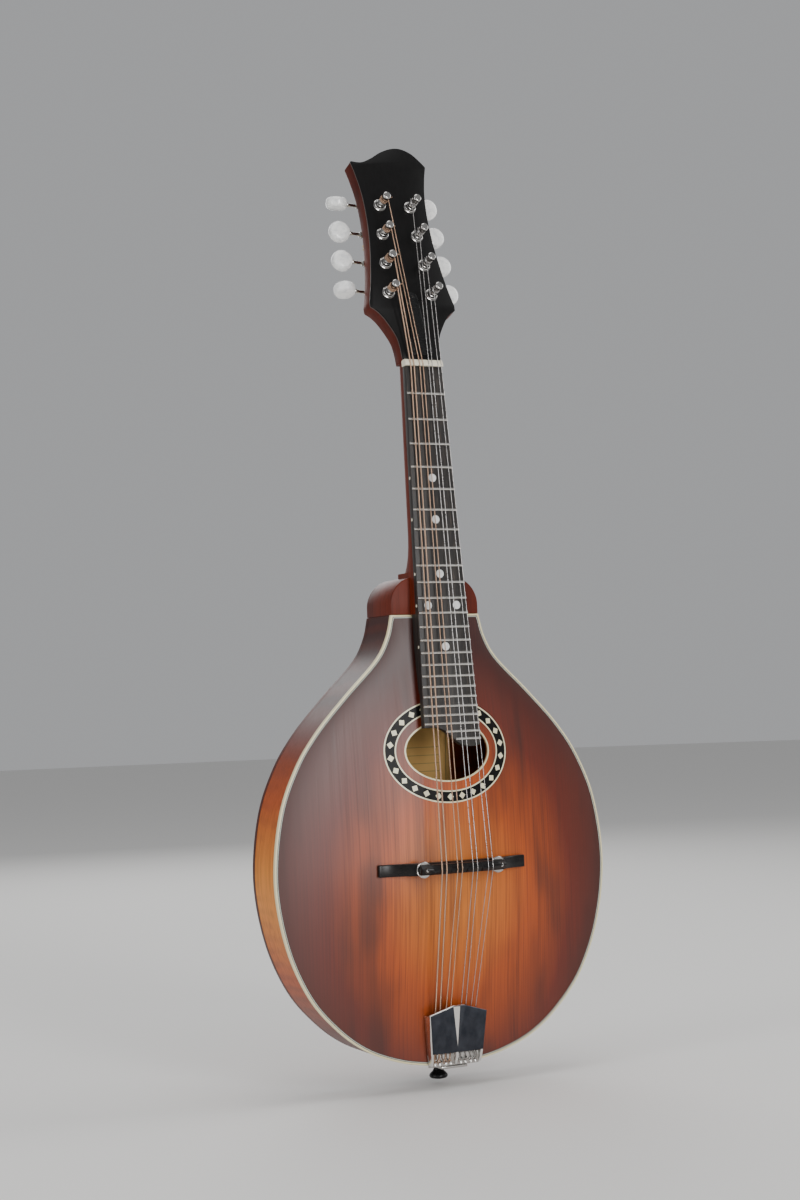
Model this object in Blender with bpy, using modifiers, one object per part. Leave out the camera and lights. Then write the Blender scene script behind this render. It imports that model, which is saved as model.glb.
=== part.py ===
"""An oval-hole, A-style mandolin, built from its separate pieces.

Sizes are in millimetres and become metres as each mesh is made. The frame: +Z runs up the
body and the neck, the front faces -Y, and +X is the treble side. The origin is on the centre
plane, level with the nut's front edge, in the plane of the body's front edge.

NECK is the frame of the neck: its y = 0 is the fingerboard's surface and its z = 0 is the nut's
front edge. HEAD is the frame of the headstock: its y = 0 is the veneer's surface and its z = 0 is
behind the nut. TUNER holds one frame for each row of tuning machines, from its lowest post.
"""

import bisect
import math

import bmesh
import bpy
from mathutils import Matrix, Vector

MM = 0.001
GAP = 0.3  # between pieces that touch on the real instrument
NAME = "mandolin"

# ---------------------------------------------------------------- driving dimensions
SCALE = 352.0  # nut to bridge, before compensation

BODY_WIDTH = 254.0
BODY_TOP = -175.8  # where the body meets the neck's shoulders
BODY_DEPTH = 42.0  # front edge plane to back edge plane
# Half outline, as (distance below BODY_TOP, share of the half width).
OUTLINE = (
    (0, 0.268), (15, 0.298), (31, 0.37), (55, 0.56), (79, 0.735), (103, 0.862), (135, 0.96),
    (179, 1.0), (222, 0.947), (257, 0.829), (281, 0.672), (297, 0.507), (306.5, 0.325),
    (311, 0.157), (312.4, 0.0),
)
ARCH_CENTRE = -345.0  # height on the body where both arches are highest
TOP_ARCH = 15.5
BACK_ARCH = 12.0
NECK_END_ARCH = 0.15  # share of the arch left at the neck end
TOP_THICK = 4.5
BACK_THICK = 4.0
RIM_THICK = 2.2
BINDING_WIDTH = 1.6
LINING_WIDTH = 5.2
LINING_DEPTH = 6.0
NECK_BLOCK = 26.0
TAIL_BLOCK = 20.0
BRACE_DROP = 316.0  # brace centre, below the nut
BRACE_WIDTH = 7.0
BRACE_DEPTH = 9.0

HOLE_DROP = 271.0  # centre of the soundhole below the nut
HOLE_HALF_WIDTH = 31.5
HOLE_HALF_HEIGHT = 20.5
HOLE_BINDING = 1.4
ROSETTE_MARGIN = 7.2  # top wood between the soundhole and the rosette
ROSETTE_WIDTH = 8.6
ROSETTE_THICK = 1.0

STRING_BRIDGE = 33.16  # strings in front of the body's front plane, at the bridge
NUT_FACE = 2.7  # fingerboard surface behind the body's front plane, at the nut
BOARD_THICK = 5.0
NUT_WIDTH = 28.6
BOARD_WIDTH_22 = 42.2  # at the 22nd fret
BOARD_END = 255.6  # bass corner of the fingerboard's end
BOARD_TONGUE = 14.0  # how much further the treble side runs
FRETS = 24
FULL_FRETS = 22
FRET_WIDTH = 2.0
FRET_HEIGHT = 1.0
RISER_END = 231.0
NECK_DEPTH = 20.5  # board surface to the back of the neck, at the nut
NECK_DEPTH_HEEL = 22.5
HEEL_START = 116.0
HEEL_END = 147.0
SHOULDER_TOP = -149.2
SHOULDER_RADIUS = 20.0
NUT_LENGTH = 5.0
STRING_LIFT = 0.35  # string above the fret plane, at the nut
ACTION = 5.2  # string above the board's surface, at the bridge

HEAD_ANGLE = math.radians(11.3)  # between the board's plane and the headstock's face
HEAD_DROP = 1.0  # veneer surface below the board's surface, behind the nut
HEAD_THICK = 13.0
VENEER = 1.8
# Half outline of the headstock up to its top corner, as (height, half width).
HEAD_SIDE = ((0.0, 15.0), (12.0, 15.6), (20.0, 17.6), (31.0, 23.5), (37.0, 28.3),
             (40.5, 33.2), (44.0, 33.4), (58.0, 30.2), (72.0, 27.8), (92.0, 25.3),
             (113.0, 24.3), (132.0, 25.0), (147.0, 27.3), (158.5, 30.0))
# Its top edge, from the bass corner over the crown to the treble corner.
HEAD_CROWN = ((-22.0, 158.3), (-14.0, 162.0), (-5.0, 168.0), (4.0, 171.8), (12.0, 172.3),
              (20.0, 169.0), (26.0, 163.3))
COVER_LENGTH = 50.0
COVER_THICK = 1.4
ROD_RADIUS = 2.4

POSTS = 4  # on each side
POST_PITCH = 23.7
POST_FIRST = 52.1  # height of the lowest posts on the headstock
POST_SPREAD = 16.9  # from the middle of the rows to the lowest posts
POST_MIDDLE = -1.0  # the rows' middle, beside the centre line
POST_TAPER = math.radians(3.9)
POST_RADIUS = 3.0
POST_WAIST = 2.2
POST_HEIGHT = 15.5
BUSH_PLAY = 0.4  # between a post and its bore
PLATE_THICK = 1.0
PLATE_HALF = 8.6
GEAR_TEETH = 15
GEAR_RADIUS = 7.0  # pitch radius
GEAR_THICK = 3.2
WORM_RADIUS = 2.4  # pitch radius
WORM_STAND = 4.9  # worm axis behind the plate
TOOTH_REACH = 0.5  # crests beyond the pitch radius
WORM_ROOT = 1.8
SHAFT_RADIUS = 1.25
BUTTON_REACH = 25.0  # post axis to button centre
BUTTON_RADIUS = 7.8
BUTTON_THICK = 8.0
BUTTON_TURNS = {-1: (96, 3, -4, 74), 1: (8, 0, 4, 14)}  # degrees from facing forwards
EAR_PLACE = 6.8  # plate ears, each way from the post axis
EAR_THICK = 1.6
EAR_HALF = 2.9

BRIDGE_HALF = 56.0
BRIDGE_WIDTH = 8.4
BRIDGE_RISE = 7.0  # base top above the top's crown
STUD_PLACE = 28.3
STUD_RADIUS = 1.6
WHEEL_RADIUS = 5.7
WHEEL_THICK = 2.0
WHEEL_LIFT = 1.6  # wheel above the base, at rest
SADDLE_HALF = 32.2
SADDLE_WIDTH = 6.8
SADDLE_CREST = 1.8  # width of its flat crest

TAIL_TOP = -451.5  # the tailpiece's upper corners
TAIL_PEAK = 5.5  # rise of its middle above them
TAIL_BOTTOM = -487.0
TAIL_HALF_TOP = 22.0
TAIL_HALF_BOTTOM = 19.2
TAIL_COVER = 2.0
TAIL_FRONT_TOP = 12.0  # cover surface in front of the edge plane, at the upper edge
TAIL_FRONT_BOTTOM = 7.0
TAIL_HOOK_BAND = 8.5  # open band with the string hooks, below the cover
RIDGE_HALF = 4.6
RIDGE_RISE = 2.0
FLANGE_THICK = 1.8
PIN_PLACE = BODY_DEPTH - 18.0  # end pin axis behind the front plane
FLANGE_DROP = PIN_PLACE - 12.0  # the tailpiece's flange ends short of the pin
PIN_LENGTH = 13.0
PIN_RADIUS = 6.6

# Strings, from the bass side: radius, and true for a wound string.
GAUGES = (0.5, 0.5, 0.36, 0.36, 0.26, 0.26, 0.22, 0.22)
NUT_COURSE = 7.2
NUT_PAIR = 2.6
NUT_OFFSET = 1.2
BRIDGE_COURSE = 11.8
BRIDGE_PAIR = 3.5
BRIDGE_OFFSET = 1.1
TAIL_COURSES = (-14.6, -6.4, 5.0, 12.6)
TAIL_PAIR = 3.5
WINDING_TURNS = 1.5
WINDING_STEPS = 8  # points in one turn

# The neck leans back just enough for the strings to clear its surface by ACTION at the bridge.
NECK_ANGLE = (
    math.asin((STRING_BRIDGE + NUT_FACE) / math.hypot(SCALE, ACTION)) - math.atan2(ACTION, SCALE)
)
NECK = Matrix.Translation((0, NUT_FACE, 0)) @ Matrix.Rotation(-NECK_ANGLE, 4, "X")
HEAD = NECK @ Matrix.Translation((0, HEAD_DROP, NUT_LENGTH)) @ Matrix.Rotation(-HEAD_ANGLE, 4, "X")
TUNER = {
    side: HEAD
    @ Matrix.Translation((POST_MIDDLE + side * POST_SPREAD, 0, POST_FIRST))
    @ Matrix.Rotation(-side * POST_TAPER, 4, "Y")
    for side in (-1, 1)
}
BODY = Matrix.Identity(4)

WORM_DEPTH = HEAD_THICK + GAP + PLATE_THICK + WORM_STAND
WORM_OFFSET = GEAR_RADIUS + WORM_RADIUS
WORM_PITCH = 2 * math.pi * GEAR_RADIUS / GEAR_TEETH

BRIDGE_Z = -SCALE * math.cos(NECK_ANGLE)
BASE_FRONT = TOP_ARCH + BRIDGE_RISE
WHEEL_FRONT = BASE_FRONT + WHEEL_LIFT + WHEEL_THICK
BODY_BOTTOM = BODY_TOP - OUTLINE[-1][0]


def collection(name):
    made = bpy.data.collections.new(name)
    bpy.context.scene.collection.children.link(made)
    return made


for old in list(bpy.data.objects):
    bpy.data.objects.remove(old, do_unlink=True)
PARTS = collection(NAME)
CUTTERS = collection("cutters")

COLOURS = {  # base colour, roughness, metallic
    "top": ((0.42, 0.13, 0.03), 0.4, 0),
    "side": ((0.25, 0.06, 0.02), 0.4, 0),
    "inside": ((0.6, 0.42, 0.24), 0.8, 0),
    "neck": ((0.14, 0.03, 0.015), 0.4, 0),
    "ebony": ((0.02, 0.018, 0.016), 0.5, 0),
    "cream": ((0.8, 0.72, 0.5), 0.4, 0),
    "bone": ((0.85, 0.8, 0.65), 0.4, 0),
    "nickel": ((0.75, 0.74, 0.72), 0.15, 1),
    "steel": ((0.6, 0.6, 0.6), 0.3, 1),
    "brass": ((0.7, 0.5, 0.2), 0.3, 1),
    "bronze": ((0.6, 0.38, 0.2), 0.35, 1),
    "pearl": ((0.85, 0.85, 0.82), 0.25, 0),
    "plastic": ((0.015, 0.015, 0.015), 0.4, 0),
}


def material(name, finish):
    colour, roughness, metallic = COLOURS[finish]
    made = bpy.data.materials.new(name)
    made.use_nodes = True
    shader = made.node_tree.nodes["Principled BSDF"]
    shader.inputs["Base Color"].default_value = (*colour, 1)
    shader.inputs["Roughness"].default_value = roughness
    shader.inputs["Metallic"].default_value = metallic
    return made


def place(name, mesh, matrix, finish):
    """The named part with this mesh, at this frame; a cutter when it has no finish."""
    obj = bpy.data.objects.new(name, mesh)
    obj.matrix_world = in_metres(matrix)
    if finish is None:
        CUTTERS.objects.link(obj)
        obj.hide_render = True
        obj.display_type = "WIRE"
        return obj
    PARTS.objects.link(obj)
    if not mesh.materials:
        mesh.materials.append(material(name, finish))
    return obj


def in_metres(matrix):
    found = matrix.copy()
    found.translation = matrix.translation * MM
    return found


def finished(bm, name, smooth=None):
    """A mesh in metres from a bmesh in millimetres; smooth is the angle of its sharp edges."""
    bmesh.ops.scale(bm, vec=(MM, MM, MM), verts=bm.verts)
    bmesh.ops.remove_doubles(bm, verts=bm.verts, dist=1e-6)
    bmesh.ops.recalc_face_normals(bm, faces=bm.faces)
    mesh = bpy.data.meshes.new(name)
    bm.to_mesh(mesh)
    bm.free()
    if smooth:
        mesh.shade_smooth()
        mesh.set_sharp_from_angle(angle=math.radians(smooth))
    return mesh


def column(name, outline, front, back, finish, matrix=BODY, cuts_x=(), cuts_z=(), smooth=None):
    """A solid over an outline in x and z, between two surfaces y = front(x, z) and back(x, z)."""
    bm = bmesh.new()
    bm.faces.new([bm.verts.new((x, 0, z)) for x, z in outline])
    for axis, cuts in ((0, cuts_x), (2, cuts_z)):
        normal = Vector((axis == 0, 0, axis == 2))
        for cut in cuts:
            geometry = bm.verts[:] + bm.edges[:] + bm.faces[:]
            bmesh.ops.bisect_plane(bm, geom=geometry, plane_co=normal * cut, plane_no=normal, dist=1e-4)
    near = set(bm.verts)
    bmesh.ops.extrude_face_region(bm, geom=bm.faces[:], use_keep_orig=True)
    for vert in bm.verts:
        surface = front if vert in near else back
        vert.co.y = surface(vert.co.x, vert.co.z)
    return place(name, finished(bm, name, smooth), matrix, finish)


def level(y):
    return lambda x, z: y


def box(name, low, high, finish, matrix=BODY):
    """A box between two corners, from a unit cube."""
    bm = bmesh.new()
    size = Vector(high) - Vector(low)
    middle = (Vector(high) + Vector(low)) / 2
    bmesh.ops.create_cube(bm, size=1, matrix=Matrix.Translation(middle) @ Matrix.Diagonal((*size, 1)))
    return place(name, finished(bm, name), matrix, finish)


def turned(name, profile, matrix, finish, segments=16, smooth=40):
    """A turned solid about the frame's z axis; the profile is (radius, z) from top to bottom."""
    mesh = bpy.data.meshes.new(name)
    points = [(r * MM, 0, z * MM) for r, z in profile]
    mesh.from_pydata(points, [(i, i + 1) for i in range(len(points) - 1)], [])
    obj = place(name, mesh, matrix, finish)
    screw = obj.modifiers.new("Turn", "SCREW")
    screw.steps = screw.render_steps = segments
    screw.use_merge_vertices = True
    screw.merge_threshold = 1e-6
    return apply(obj, smooth)


def rod(name, radius, low, high, matrix, finish, segments=16):
    return turned(name, ((0, high), (radius, high), (radius, low), (0, low)), matrix, finish, segments)


def apply(obj, smooth=None):
    """The object with its modifiers made part of its mesh."""
    graph = bpy.context.evaluated_depsgraph_get()
    mesh = bpy.data.meshes.new_from_object(obj.evaluated_get(graph))
    if smooth:
        mesh.shade_smooth()
        mesh.set_sharp_from_angle(angle=math.radians(smooth))
    obj.modifiers.clear()
    obj.data = mesh
    return obj


def combine(obj, others, operation):
    """A Boolean of each other object with this one, in turn; the others are then removed."""
    for other in others:
        modifier = obj.modifiers.new(operation.title(), "BOOLEAN")
        modifier.operation = operation
        modifier.solver = "EXACT"
        modifier.object = other
    apply(obj, 35)
    for other in others:
        bpy.data.objects.remove(other, do_unlink=True)
    return obj


def joined(name, objects):
    """One cutter that holds separate solids in one mesh."""
    bm = bmesh.new()
    for obj in objects:
        mesh = obj.data.copy()
        mesh.transform(obj.matrix_world)
        bm.from_mesh(mesh)
        bpy.data.objects.remove(obj, do_unlink=True)
    mesh = bpy.data.meshes.new(name)
    bm.to_mesh(mesh)
    bm.free()
    return place(name, mesh, BODY, None)


def spline(points, steps):
    """A smooth open curve through points, as steps points for each span (Catmull-Rom)."""
    ends = [Vector(p) for p in points]
    ends = [2 * ends[0] - ends[1], *ends, 2 * ends[-1] - ends[-2]]
    found = []
    for a, b, c, d in zip(ends, ends[1:], ends[2:], ends[3:]):
        for i in range(steps):
            t = i / steps
            found.append(
                0.5 * (2 * b + (c - a) * t + (2 * a - 5 * b + 4 * c - d) * t * t
                       + (3 * b - a - 3 * c + d) * t ** 3)
            )
    return [*found, ends[-2]]


# ---------------------------------------------------------------- the body's shape
FINE_OUTLINE = [
    (x * BODY_WIDTH / 2, BODY_TOP - drop) for drop, x in spline(OUTLINE, 12)
]
FINE_HEIGHTS = [-z for x, z in FINE_OUTLINE]


def half_width(z):
    i = min(max(bisect.bisect(FINE_HEIGHTS, -z), 1), len(FINE_OUTLINE) - 1)
    (x0, z0), (x1, z1) = FINE_OUTLINE[i - 1], FINE_OUTLINE[i]
    share = (z - z0) / (z1 - z0)
    return max(x0 + (x1 - x0) * min(max(share, 0), 1), 0.001)


def swell(x, z):
    """Share of an arch's height at a point: 1 at the crown, 0 along the body's edge."""
    across = min(abs(x) / half_width(z), 1)
    if z > ARCH_CENTRE:
        along = ((z - ARCH_CENTRE) / (BODY_TOP - ARCH_CENTRE)) ** 1.6
        least = NECK_END_ARCH
    else:
        along = (ARCH_CENTRE - z) / (ARCH_CENTRE - BODY_BOTTOM)
        least = 0
    along = least + (1 - least) * (1 + math.cos(math.pi * min(max(along, 0), 1))) / 2
    return along * (1 + math.cos(math.pi * across)) / 2


def top_face(x, z, below=0.0):
    """y of the top's outer surface, or of a surface this far below it."""
    return below - TOP_ARCH * swell(x, z)


def back_face(x, z, below=0.0):
    return BODY_DEPTH + BACK_ARCH * swell(x, z) - below


def half_outline(inset, count=20):
    """The treble half of the body's outline, this far inside its edge, from the neck end down."""
    curve = [Vector(p) for p in FINE_OUTLINE]
    lengths = [0]
    for a, b in zip(curve, curve[1:]):
        lengths.append(lengths[-1] + (b - a).length)
    found = []
    for k in range(count + 1):
        target = lengths[-1] * k / count
        i = min(max(bisect.bisect(lengths, target), 1), len(curve) - 1)
        share = (target - lengths[i - 1]) / (lengths[i] - lengths[i - 1])
        point = curve[i - 1].lerp(curve[i], share)
        along = curve[min(i + 1, len(curve) - 1)] - curve[max(i - 2, 0)]
        inward = Vector((along.y, -along.x)).normalized()
        if k == count:
            inward = Vector((0, 1))
        if k == 0:
            inward = Vector((-1, 0))
        found.append(point + inward * inset)
    return [(max(x, 0.0), z) for x, z in found]


def mirrored(half):
    """A closed outline from its treble half, which runs down to the centre line."""
    return half + [(-x, z) for x, z in reversed(half[:-1])]


def band(outer, inner):
    """The outline of an open band between two insets, round the body from end to end."""
    return mirrored(half_outline(outer)) + mirrored(half_outline(inner))[::-1]


EDGE = BINDING_WIDTH + GAP
X_CUTS = [BODY_WIDTH / 14 * k for k in range(-6, 7)]
Z_CUTS = [BODY_TOP - (BODY_TOP - BODY_BOTTOM) / 14 * k for k in range(1, 14)]


def ellipse_ring(name, inner, outer, front, back, finish, count=28):
    """A ring over the arched top round the soundhole; inner and outer are added to its half sizes."""
    bm = bmesh.new()
    loops = []
    for margin, below in ((inner, front), (outer, front), (outer, back), (inner, back)):
        loop = []
        for k in range(count):
            angle = 2 * math.pi * k / count
            x = (HOLE_HALF_WIDTH + margin) * math.cos(angle)
            z = (HOLE_HALF_HEIGHT + margin) * math.sin(angle) - HOLE_DROP
            loop.append(bm.verts.new((x, top_face(x, z, below), z)))
        loops.append([bm.edges.new((a, b)) for a, b in zip(loop, loop[1:] + loop[:1])])
    for near, far in zip(loops, loops[1:] + loops[:1]):
        bmesh.ops.bridge_loops(bm, edges=near + far)
    return place(name, finished(bm, name, 35), BODY, finish)


def ellipse(margin, count=28):
    return [
        (
            (HOLE_HALF_WIDTH + margin) * math.cos(2 * math.pi * k / count),
            (HOLE_HALF_HEIGHT + margin) * math.sin(2 * math.pi * k / count) - HOLE_DROP,
        )
        for k in range(count)
    ]


# ---------------------------------------------------------------- body
top_plate = column(
    "top_plate", mirrored(half_outline(EDGE)), top_face, lambda x, z: top_face(x, z, TOP_THICK),
    "top", cuts_x=X_CUTS, cuts_z=Z_CUTS, smooth=35,
)
hole_cutter = column(
    "hole_cutter", ellipse(HOLE_BINDING + GAP), level(-60), level(20), None
)
rosette_cutter = ellipse_ring(
    "rosette_cutter", ROSETTE_MARGIN - GAP, ROSETTE_MARGIN + ROSETTE_WIDTH + GAP,
    -5, ROSETTE_THICK + GAP, None,
)
combine(top_plate, [hole_cutter, rosette_cutter], "DIFFERENCE")
ellipse_ring("rosette", ROSETTE_MARGIN, ROSETTE_MARGIN + ROSETTE_WIDTH, 0, ROSETTE_THICK, "ebony")
ellipse_ring("soundhole_binding", 0, HOLE_BINDING, 0, TOP_THICK, "cream")

column(
    "back_plate", mirrored(half_outline(0)), lambda x, z: back_face(x, z, BACK_THICK), back_face,
    "side", cuts_x=X_CUTS, cuts_z=Z_CUTS, smooth=35,
)

RIM_FRONT = TOP_THICK + GAP
RIM_BACK = BODY_DEPTH - BACK_THICK - GAP
RIM_INNER = GAP + RIM_THICK
column("top_binding", band(0, BINDING_WIDTH), level(0), level(TOP_THICK), "cream", smooth=35)
column("rim", band(GAP, RIM_INNER), level(RIM_FRONT), level(RIM_BACK), "side", smooth=35)
LINING_INNER = RIM_INNER + GAP + LINING_WIDTH
lining = band(RIM_INNER + GAP, LINING_INNER)
column("top_lining", lining, level(RIM_FRONT), level(RIM_FRONT + LINING_DEPTH), "inside", smooth=35)
column("back_lining", lining, level(RIM_BACK - LINING_DEPTH), level(RIM_BACK), "inside", smooth=35)

block_side = half_outline(LINING_INNER + GAP)
upper = [p for p in block_side if p[1] > BODY_TOP - NECK_BLOCK]
lower = [p for p in block_side if p[1] < BODY_BOTTOM + TAIL_BLOCK + LINING_INNER]
column(
    "neck_block", upper + [(-x, z) for x, z in reversed(upper)],
    level(RIM_FRONT), level(RIM_BACK), "inside",
)
column("tail_block", mirrored(lower), level(RIM_FRONT), level(RIM_BACK), "inside")

brace_half = half_width(-BRACE_DROP) - LINING_INNER - 2
brace_low, brace_high = -BRACE_DROP - BRACE_WIDTH / 2, -BRACE_DROP + BRACE_WIDTH / 2
BRACE_FRONT = TOP_THICK + GAP


def brace_back(x, z):
    taper = min(1, (brace_half - abs(x)) / 22)
    return top_face(x, z, BRACE_FRONT) + 3 + (BRACE_DEPTH - 3) * taper


column(
    "top_brace",
    [(-brace_half, brace_low), (brace_half, brace_low), (brace_half, brace_high), (-brace_half, brace_high)],
    lambda x, z: top_face(x, z, BRACE_FRONT), brace_back, "inside",
    cuts_x=[x for x in X_CUTS if abs(x) < brace_half],
)


# ---------------------------------------------------------------- neck
def board_half(drop):
    """Half the fingerboard's width at a distance from the nut."""
    share = drop / fret_drop(FULL_FRETS)
    return (NUT_WIDTH + (BOARD_WIDTH_22 - NUT_WIDTH) * share) / 2


def fret_drop(number):
    return SCALE * (1 - 2 ** (-number / 12))


def neck_depth(drop):
    """Depth of the neck behind the board's surface, with the heel's quarter curve at its end."""
    depth = NECK_DEPTH + (NECK_DEPTH_HEEL - NECK_DEPTH) * min(drop / HEEL_START, 1)
    full = (BODY_DEPTH - 0.6 - NUT_FACE) / math.cos(NECK_ANGLE) + HEEL_END * math.tan(NECK_ANGLE)
    if drop > HEEL_START:
        share = min((drop - HEEL_START) / (HEEL_END - HEEL_START), 1)
        depth += (full - depth) * (1 - math.sqrt(1 - share * share))
    if drop < 0:
        depth += drop * 0.3
    return depth


def lofted(name, sections, matrix, finish):
    """A solid through closed sections of equal point counts."""
    bm = bmesh.new()
    loops = []
    for section in sections:
        verts = [bm.verts.new(point) for point in section]
        loops.append([bm.edges.new((a, b)) for a, b in zip(verts, verts[1:] + verts[:1])])
        if section in (sections[0], sections[-1]):
            bm.faces.new(verts)
    for near, far in zip(loops, loops[1:]):
        bmesh.ops.bridge_loops(bm, edges=near + far)
    return place(name, finished(bm, name, 35), matrix, finish)


def shaft_section(drop, steps=10):
    """The neck's section: flat under the board, and a half ellipse behind."""
    half = board_half(max(drop, 0)) - 0.1
    top = BOARD_THICK + GAP
    depth = neck_depth(drop)
    side = top + 2.5
    curve = [
        (half * math.cos(math.pi * k / steps), side + (depth - side) * math.sin(math.pi * k / steps))
        for k in range(steps + 1)
    ]
    outline = [(half, top), *curve, (-half, top)]
    return [(x, y, -drop) for x, y in outline]


heel_steps = [HEEL_START + (HEEL_END - HEEL_START) * s for s in (0, 0.35, 0.65, 0.85, 0.96, 1.0)]
shaft_drops = [-13, -8, 0, 60, *heel_steps, 180]
neck = lofted("neck", [shaft_section(drop) for drop in shaft_drops], NECK, "neck")

shoulder_half = OUTLINE[0][1] * BODY_WIDTH / 2 - GAP
corner = [
    (
        shoulder_half - SHOULDER_RADIUS + SHOULDER_RADIUS * math.cos(math.pi / 2 * k / 6),
        SHOULDER_TOP - SHOULDER_RADIUS + SHOULDER_RADIUS * math.sin(math.pi / 2 * k / 6),
    )
    for k in range(7)
]
shoulder_outline = [(shoulder_half, BODY_TOP - 4), *corner]
shoulder = column(
    "shoulder", shoulder_outline + [(-x, z) for x, z in reversed(shoulder_outline)],
    level(0.5), level(BODY_DEPTH - 0.2), None,
)


def board_back(x, z):
    """y, in the body's frame, just under the fingerboard."""
    return NUT_FACE + (z * math.sin(NECK_ANGLE) + BOARD_THICK + GAP) / math.cos(NECK_ANGLE)


def head_outline(side_inset=0.0, steps=2):
    """The headstock's outline, from the treble side of the nut round to the bass side."""
    side = [(half - side_inset, height) for height, half in HEAD_SIDE]
    crown = [tuple(p) for p in spline([(-side[-1][0], side[-1][1]), *HEAD_CROWN, side[-1]], steps)]
    return side + crown[::-1][1:-1] + [(-x, z) for x, z in reversed(side)]


head_blank = column(
    "head_blank", [(x, z + GAP) for x, z in head_outline()],
    level(VENEER + GAP), level(HEAD_THICK), None, HEAD,
)
combine(neck, [shoulder, head_blank], "UNION")
veneer = column(
    "headstock_veneer", [(x, z + GAP) for x, z in head_outline()], level(0), level(VENEER),
    "plastic", HEAD,
)

rod_top = BOARD_THICK + GAP
rod_channel = box(
    "rod_channel", (-ROD_RADIUS - GAP, rod_top - 2, -145),
    (ROD_RADIUS + GAP, rod_top + 2 * ROD_RADIUS + 2 * GAP, 8), None, NECK,
)
nut_recess = box("nut_recess", (-20, -5, 0), (20, rod_top, NUT_LENGTH), None, NECK)
body_joint = box("body_joint", (-60, -60, BODY_TOP - 40), (60, 80, BODY_TOP + GAP), None)
rod(
    "truss_rod", ROD_RADIUS, -142, 20,
    NECK @ Matrix.Translation((0, rod_top + ROD_RADIUS + GAP, 0)), "steel", 10,
)
rod_pocket = box("rod_pocket", (-4.2, -3, 1), (4.2, 9.4, 24), None, HEAD)
rod_pocket_veneer = box("rod_pocket_veneer", (-4.2, -3, 1), (4.2, 9.4, 24), None, HEAD)


# ---------------------------------------------------------------- tuning machines
def bores(name, radius, low, high):
    """Cutters through the headstock at every post."""
    found = []
    for side in (-1, 1):
        for k in range(POSTS):
            station = TUNER[side] @ Matrix.Translation((0, 0, k * POST_PITCH))
            at = station @ Matrix.Rotation(math.pi / 2, 4, "X")
            found.append(rod(f"{name}_{side}_{k}", radius, low, high, at, None, 10))
    return joined(name, found)


post_bores = bores("post_bores", POST_RADIUS + BUSH_PLAY, -HEAD_THICK - 4, 4)
combine(neck, [nut_recess, body_joint, rod_channel, rod_pocket, post_bores], "DIFFERENCE")
veneer_bores = bores("veneer_bores", POST_RADIUS + BUSH_PLAY, -HEAD_THICK, 4)
combine(veneer, [rod_pocket_veneer, veneer_bores], "DIFFERENCE")

cover_low = 3.0
cover_half = (
    (0, 8.5), (5, 8.5), (17, 6.2), (30, 4.8), (COVER_LENGTH - 5, 4.2), (COVER_LENGTH - 1.5, 2.6),
    (COVER_LENGTH, 0),
)
column(
    "truss_rod_cover",
    [(x, z + cover_low) for z, x in cover_half] + [(-x, z + cover_low) for z, x in reversed(cover_half[:-1])],
    level(-GAP - COVER_THICK), level(-GAP), "plastic", HEAD,
)


def gear_blank():
    """Helical gear with a gap facing local +Y, centred on the worm's plane."""
    lead = math.atan(WORM_PITCH / (2 * math.pi * WORM_RADIUS))
    twist = GEAR_THICK * math.tan(lead) / GEAR_RADIUS
    tip = GEAR_RADIUS + TOOTH_REACH - 0.1
    root = GEAR_RADIUS - TOOTH_REACH - 0.15
    tooth = 2 * math.pi / GEAR_TEETH
    bm = bmesh.new()
    loops = []
    for layer in (-0.5, 0.5):
        verts = []
        for k in range(GEAR_TEETH):
            start = math.pi / 2 + tooth * k + twist * layer
            for radius, share in ((root, 0.0), (tip, 0.5)):
                angle = start + tooth * share
                height = -WORM_DEPTH + GEAR_THICK * layer
                verts.append(bm.verts.new((radius * math.cos(angle), radius * math.sin(angle), height)))
        loops.append(([bm.edges.new((a, b)) for a, b in zip(verts, verts[1:] + verts[:1])], verts))
    bm.faces.new(loops[0][1])
    bm.faces.new(loops[-1][1])
    for (near, _), (far, _) in zip(loops, loops[1:]):
        bmesh.ops.bridge_loops(bm, edges=near + far)
    return place("gear_blank", finished(bm, "gear_blank"), BODY, None)


def post_mesh():
    """Post from its cap down to its gear, on local z, with z = 0 at the veneer's surface."""
    end = -WORM_DEPTH - GEAR_THICK / 2 - 0.6
    profile = (
        (0, POST_HEIGHT), (POST_RADIUS - 0.9, POST_HEIGHT), (POST_RADIUS, POST_HEIGHT - 0.9),
        (POST_RADIUS, POST_HEIGHT - 2.6), (POST_WAIST, POST_HEIGHT - 3.6), (POST_WAIST, 6.4),
        (POST_RADIUS, 5.2), (POST_RADIUS, end), (0, end),
    )
    post = turned("post", profile, BODY, None, 12)
    return combine(post, [gear_blank()], "UNION")


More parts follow.
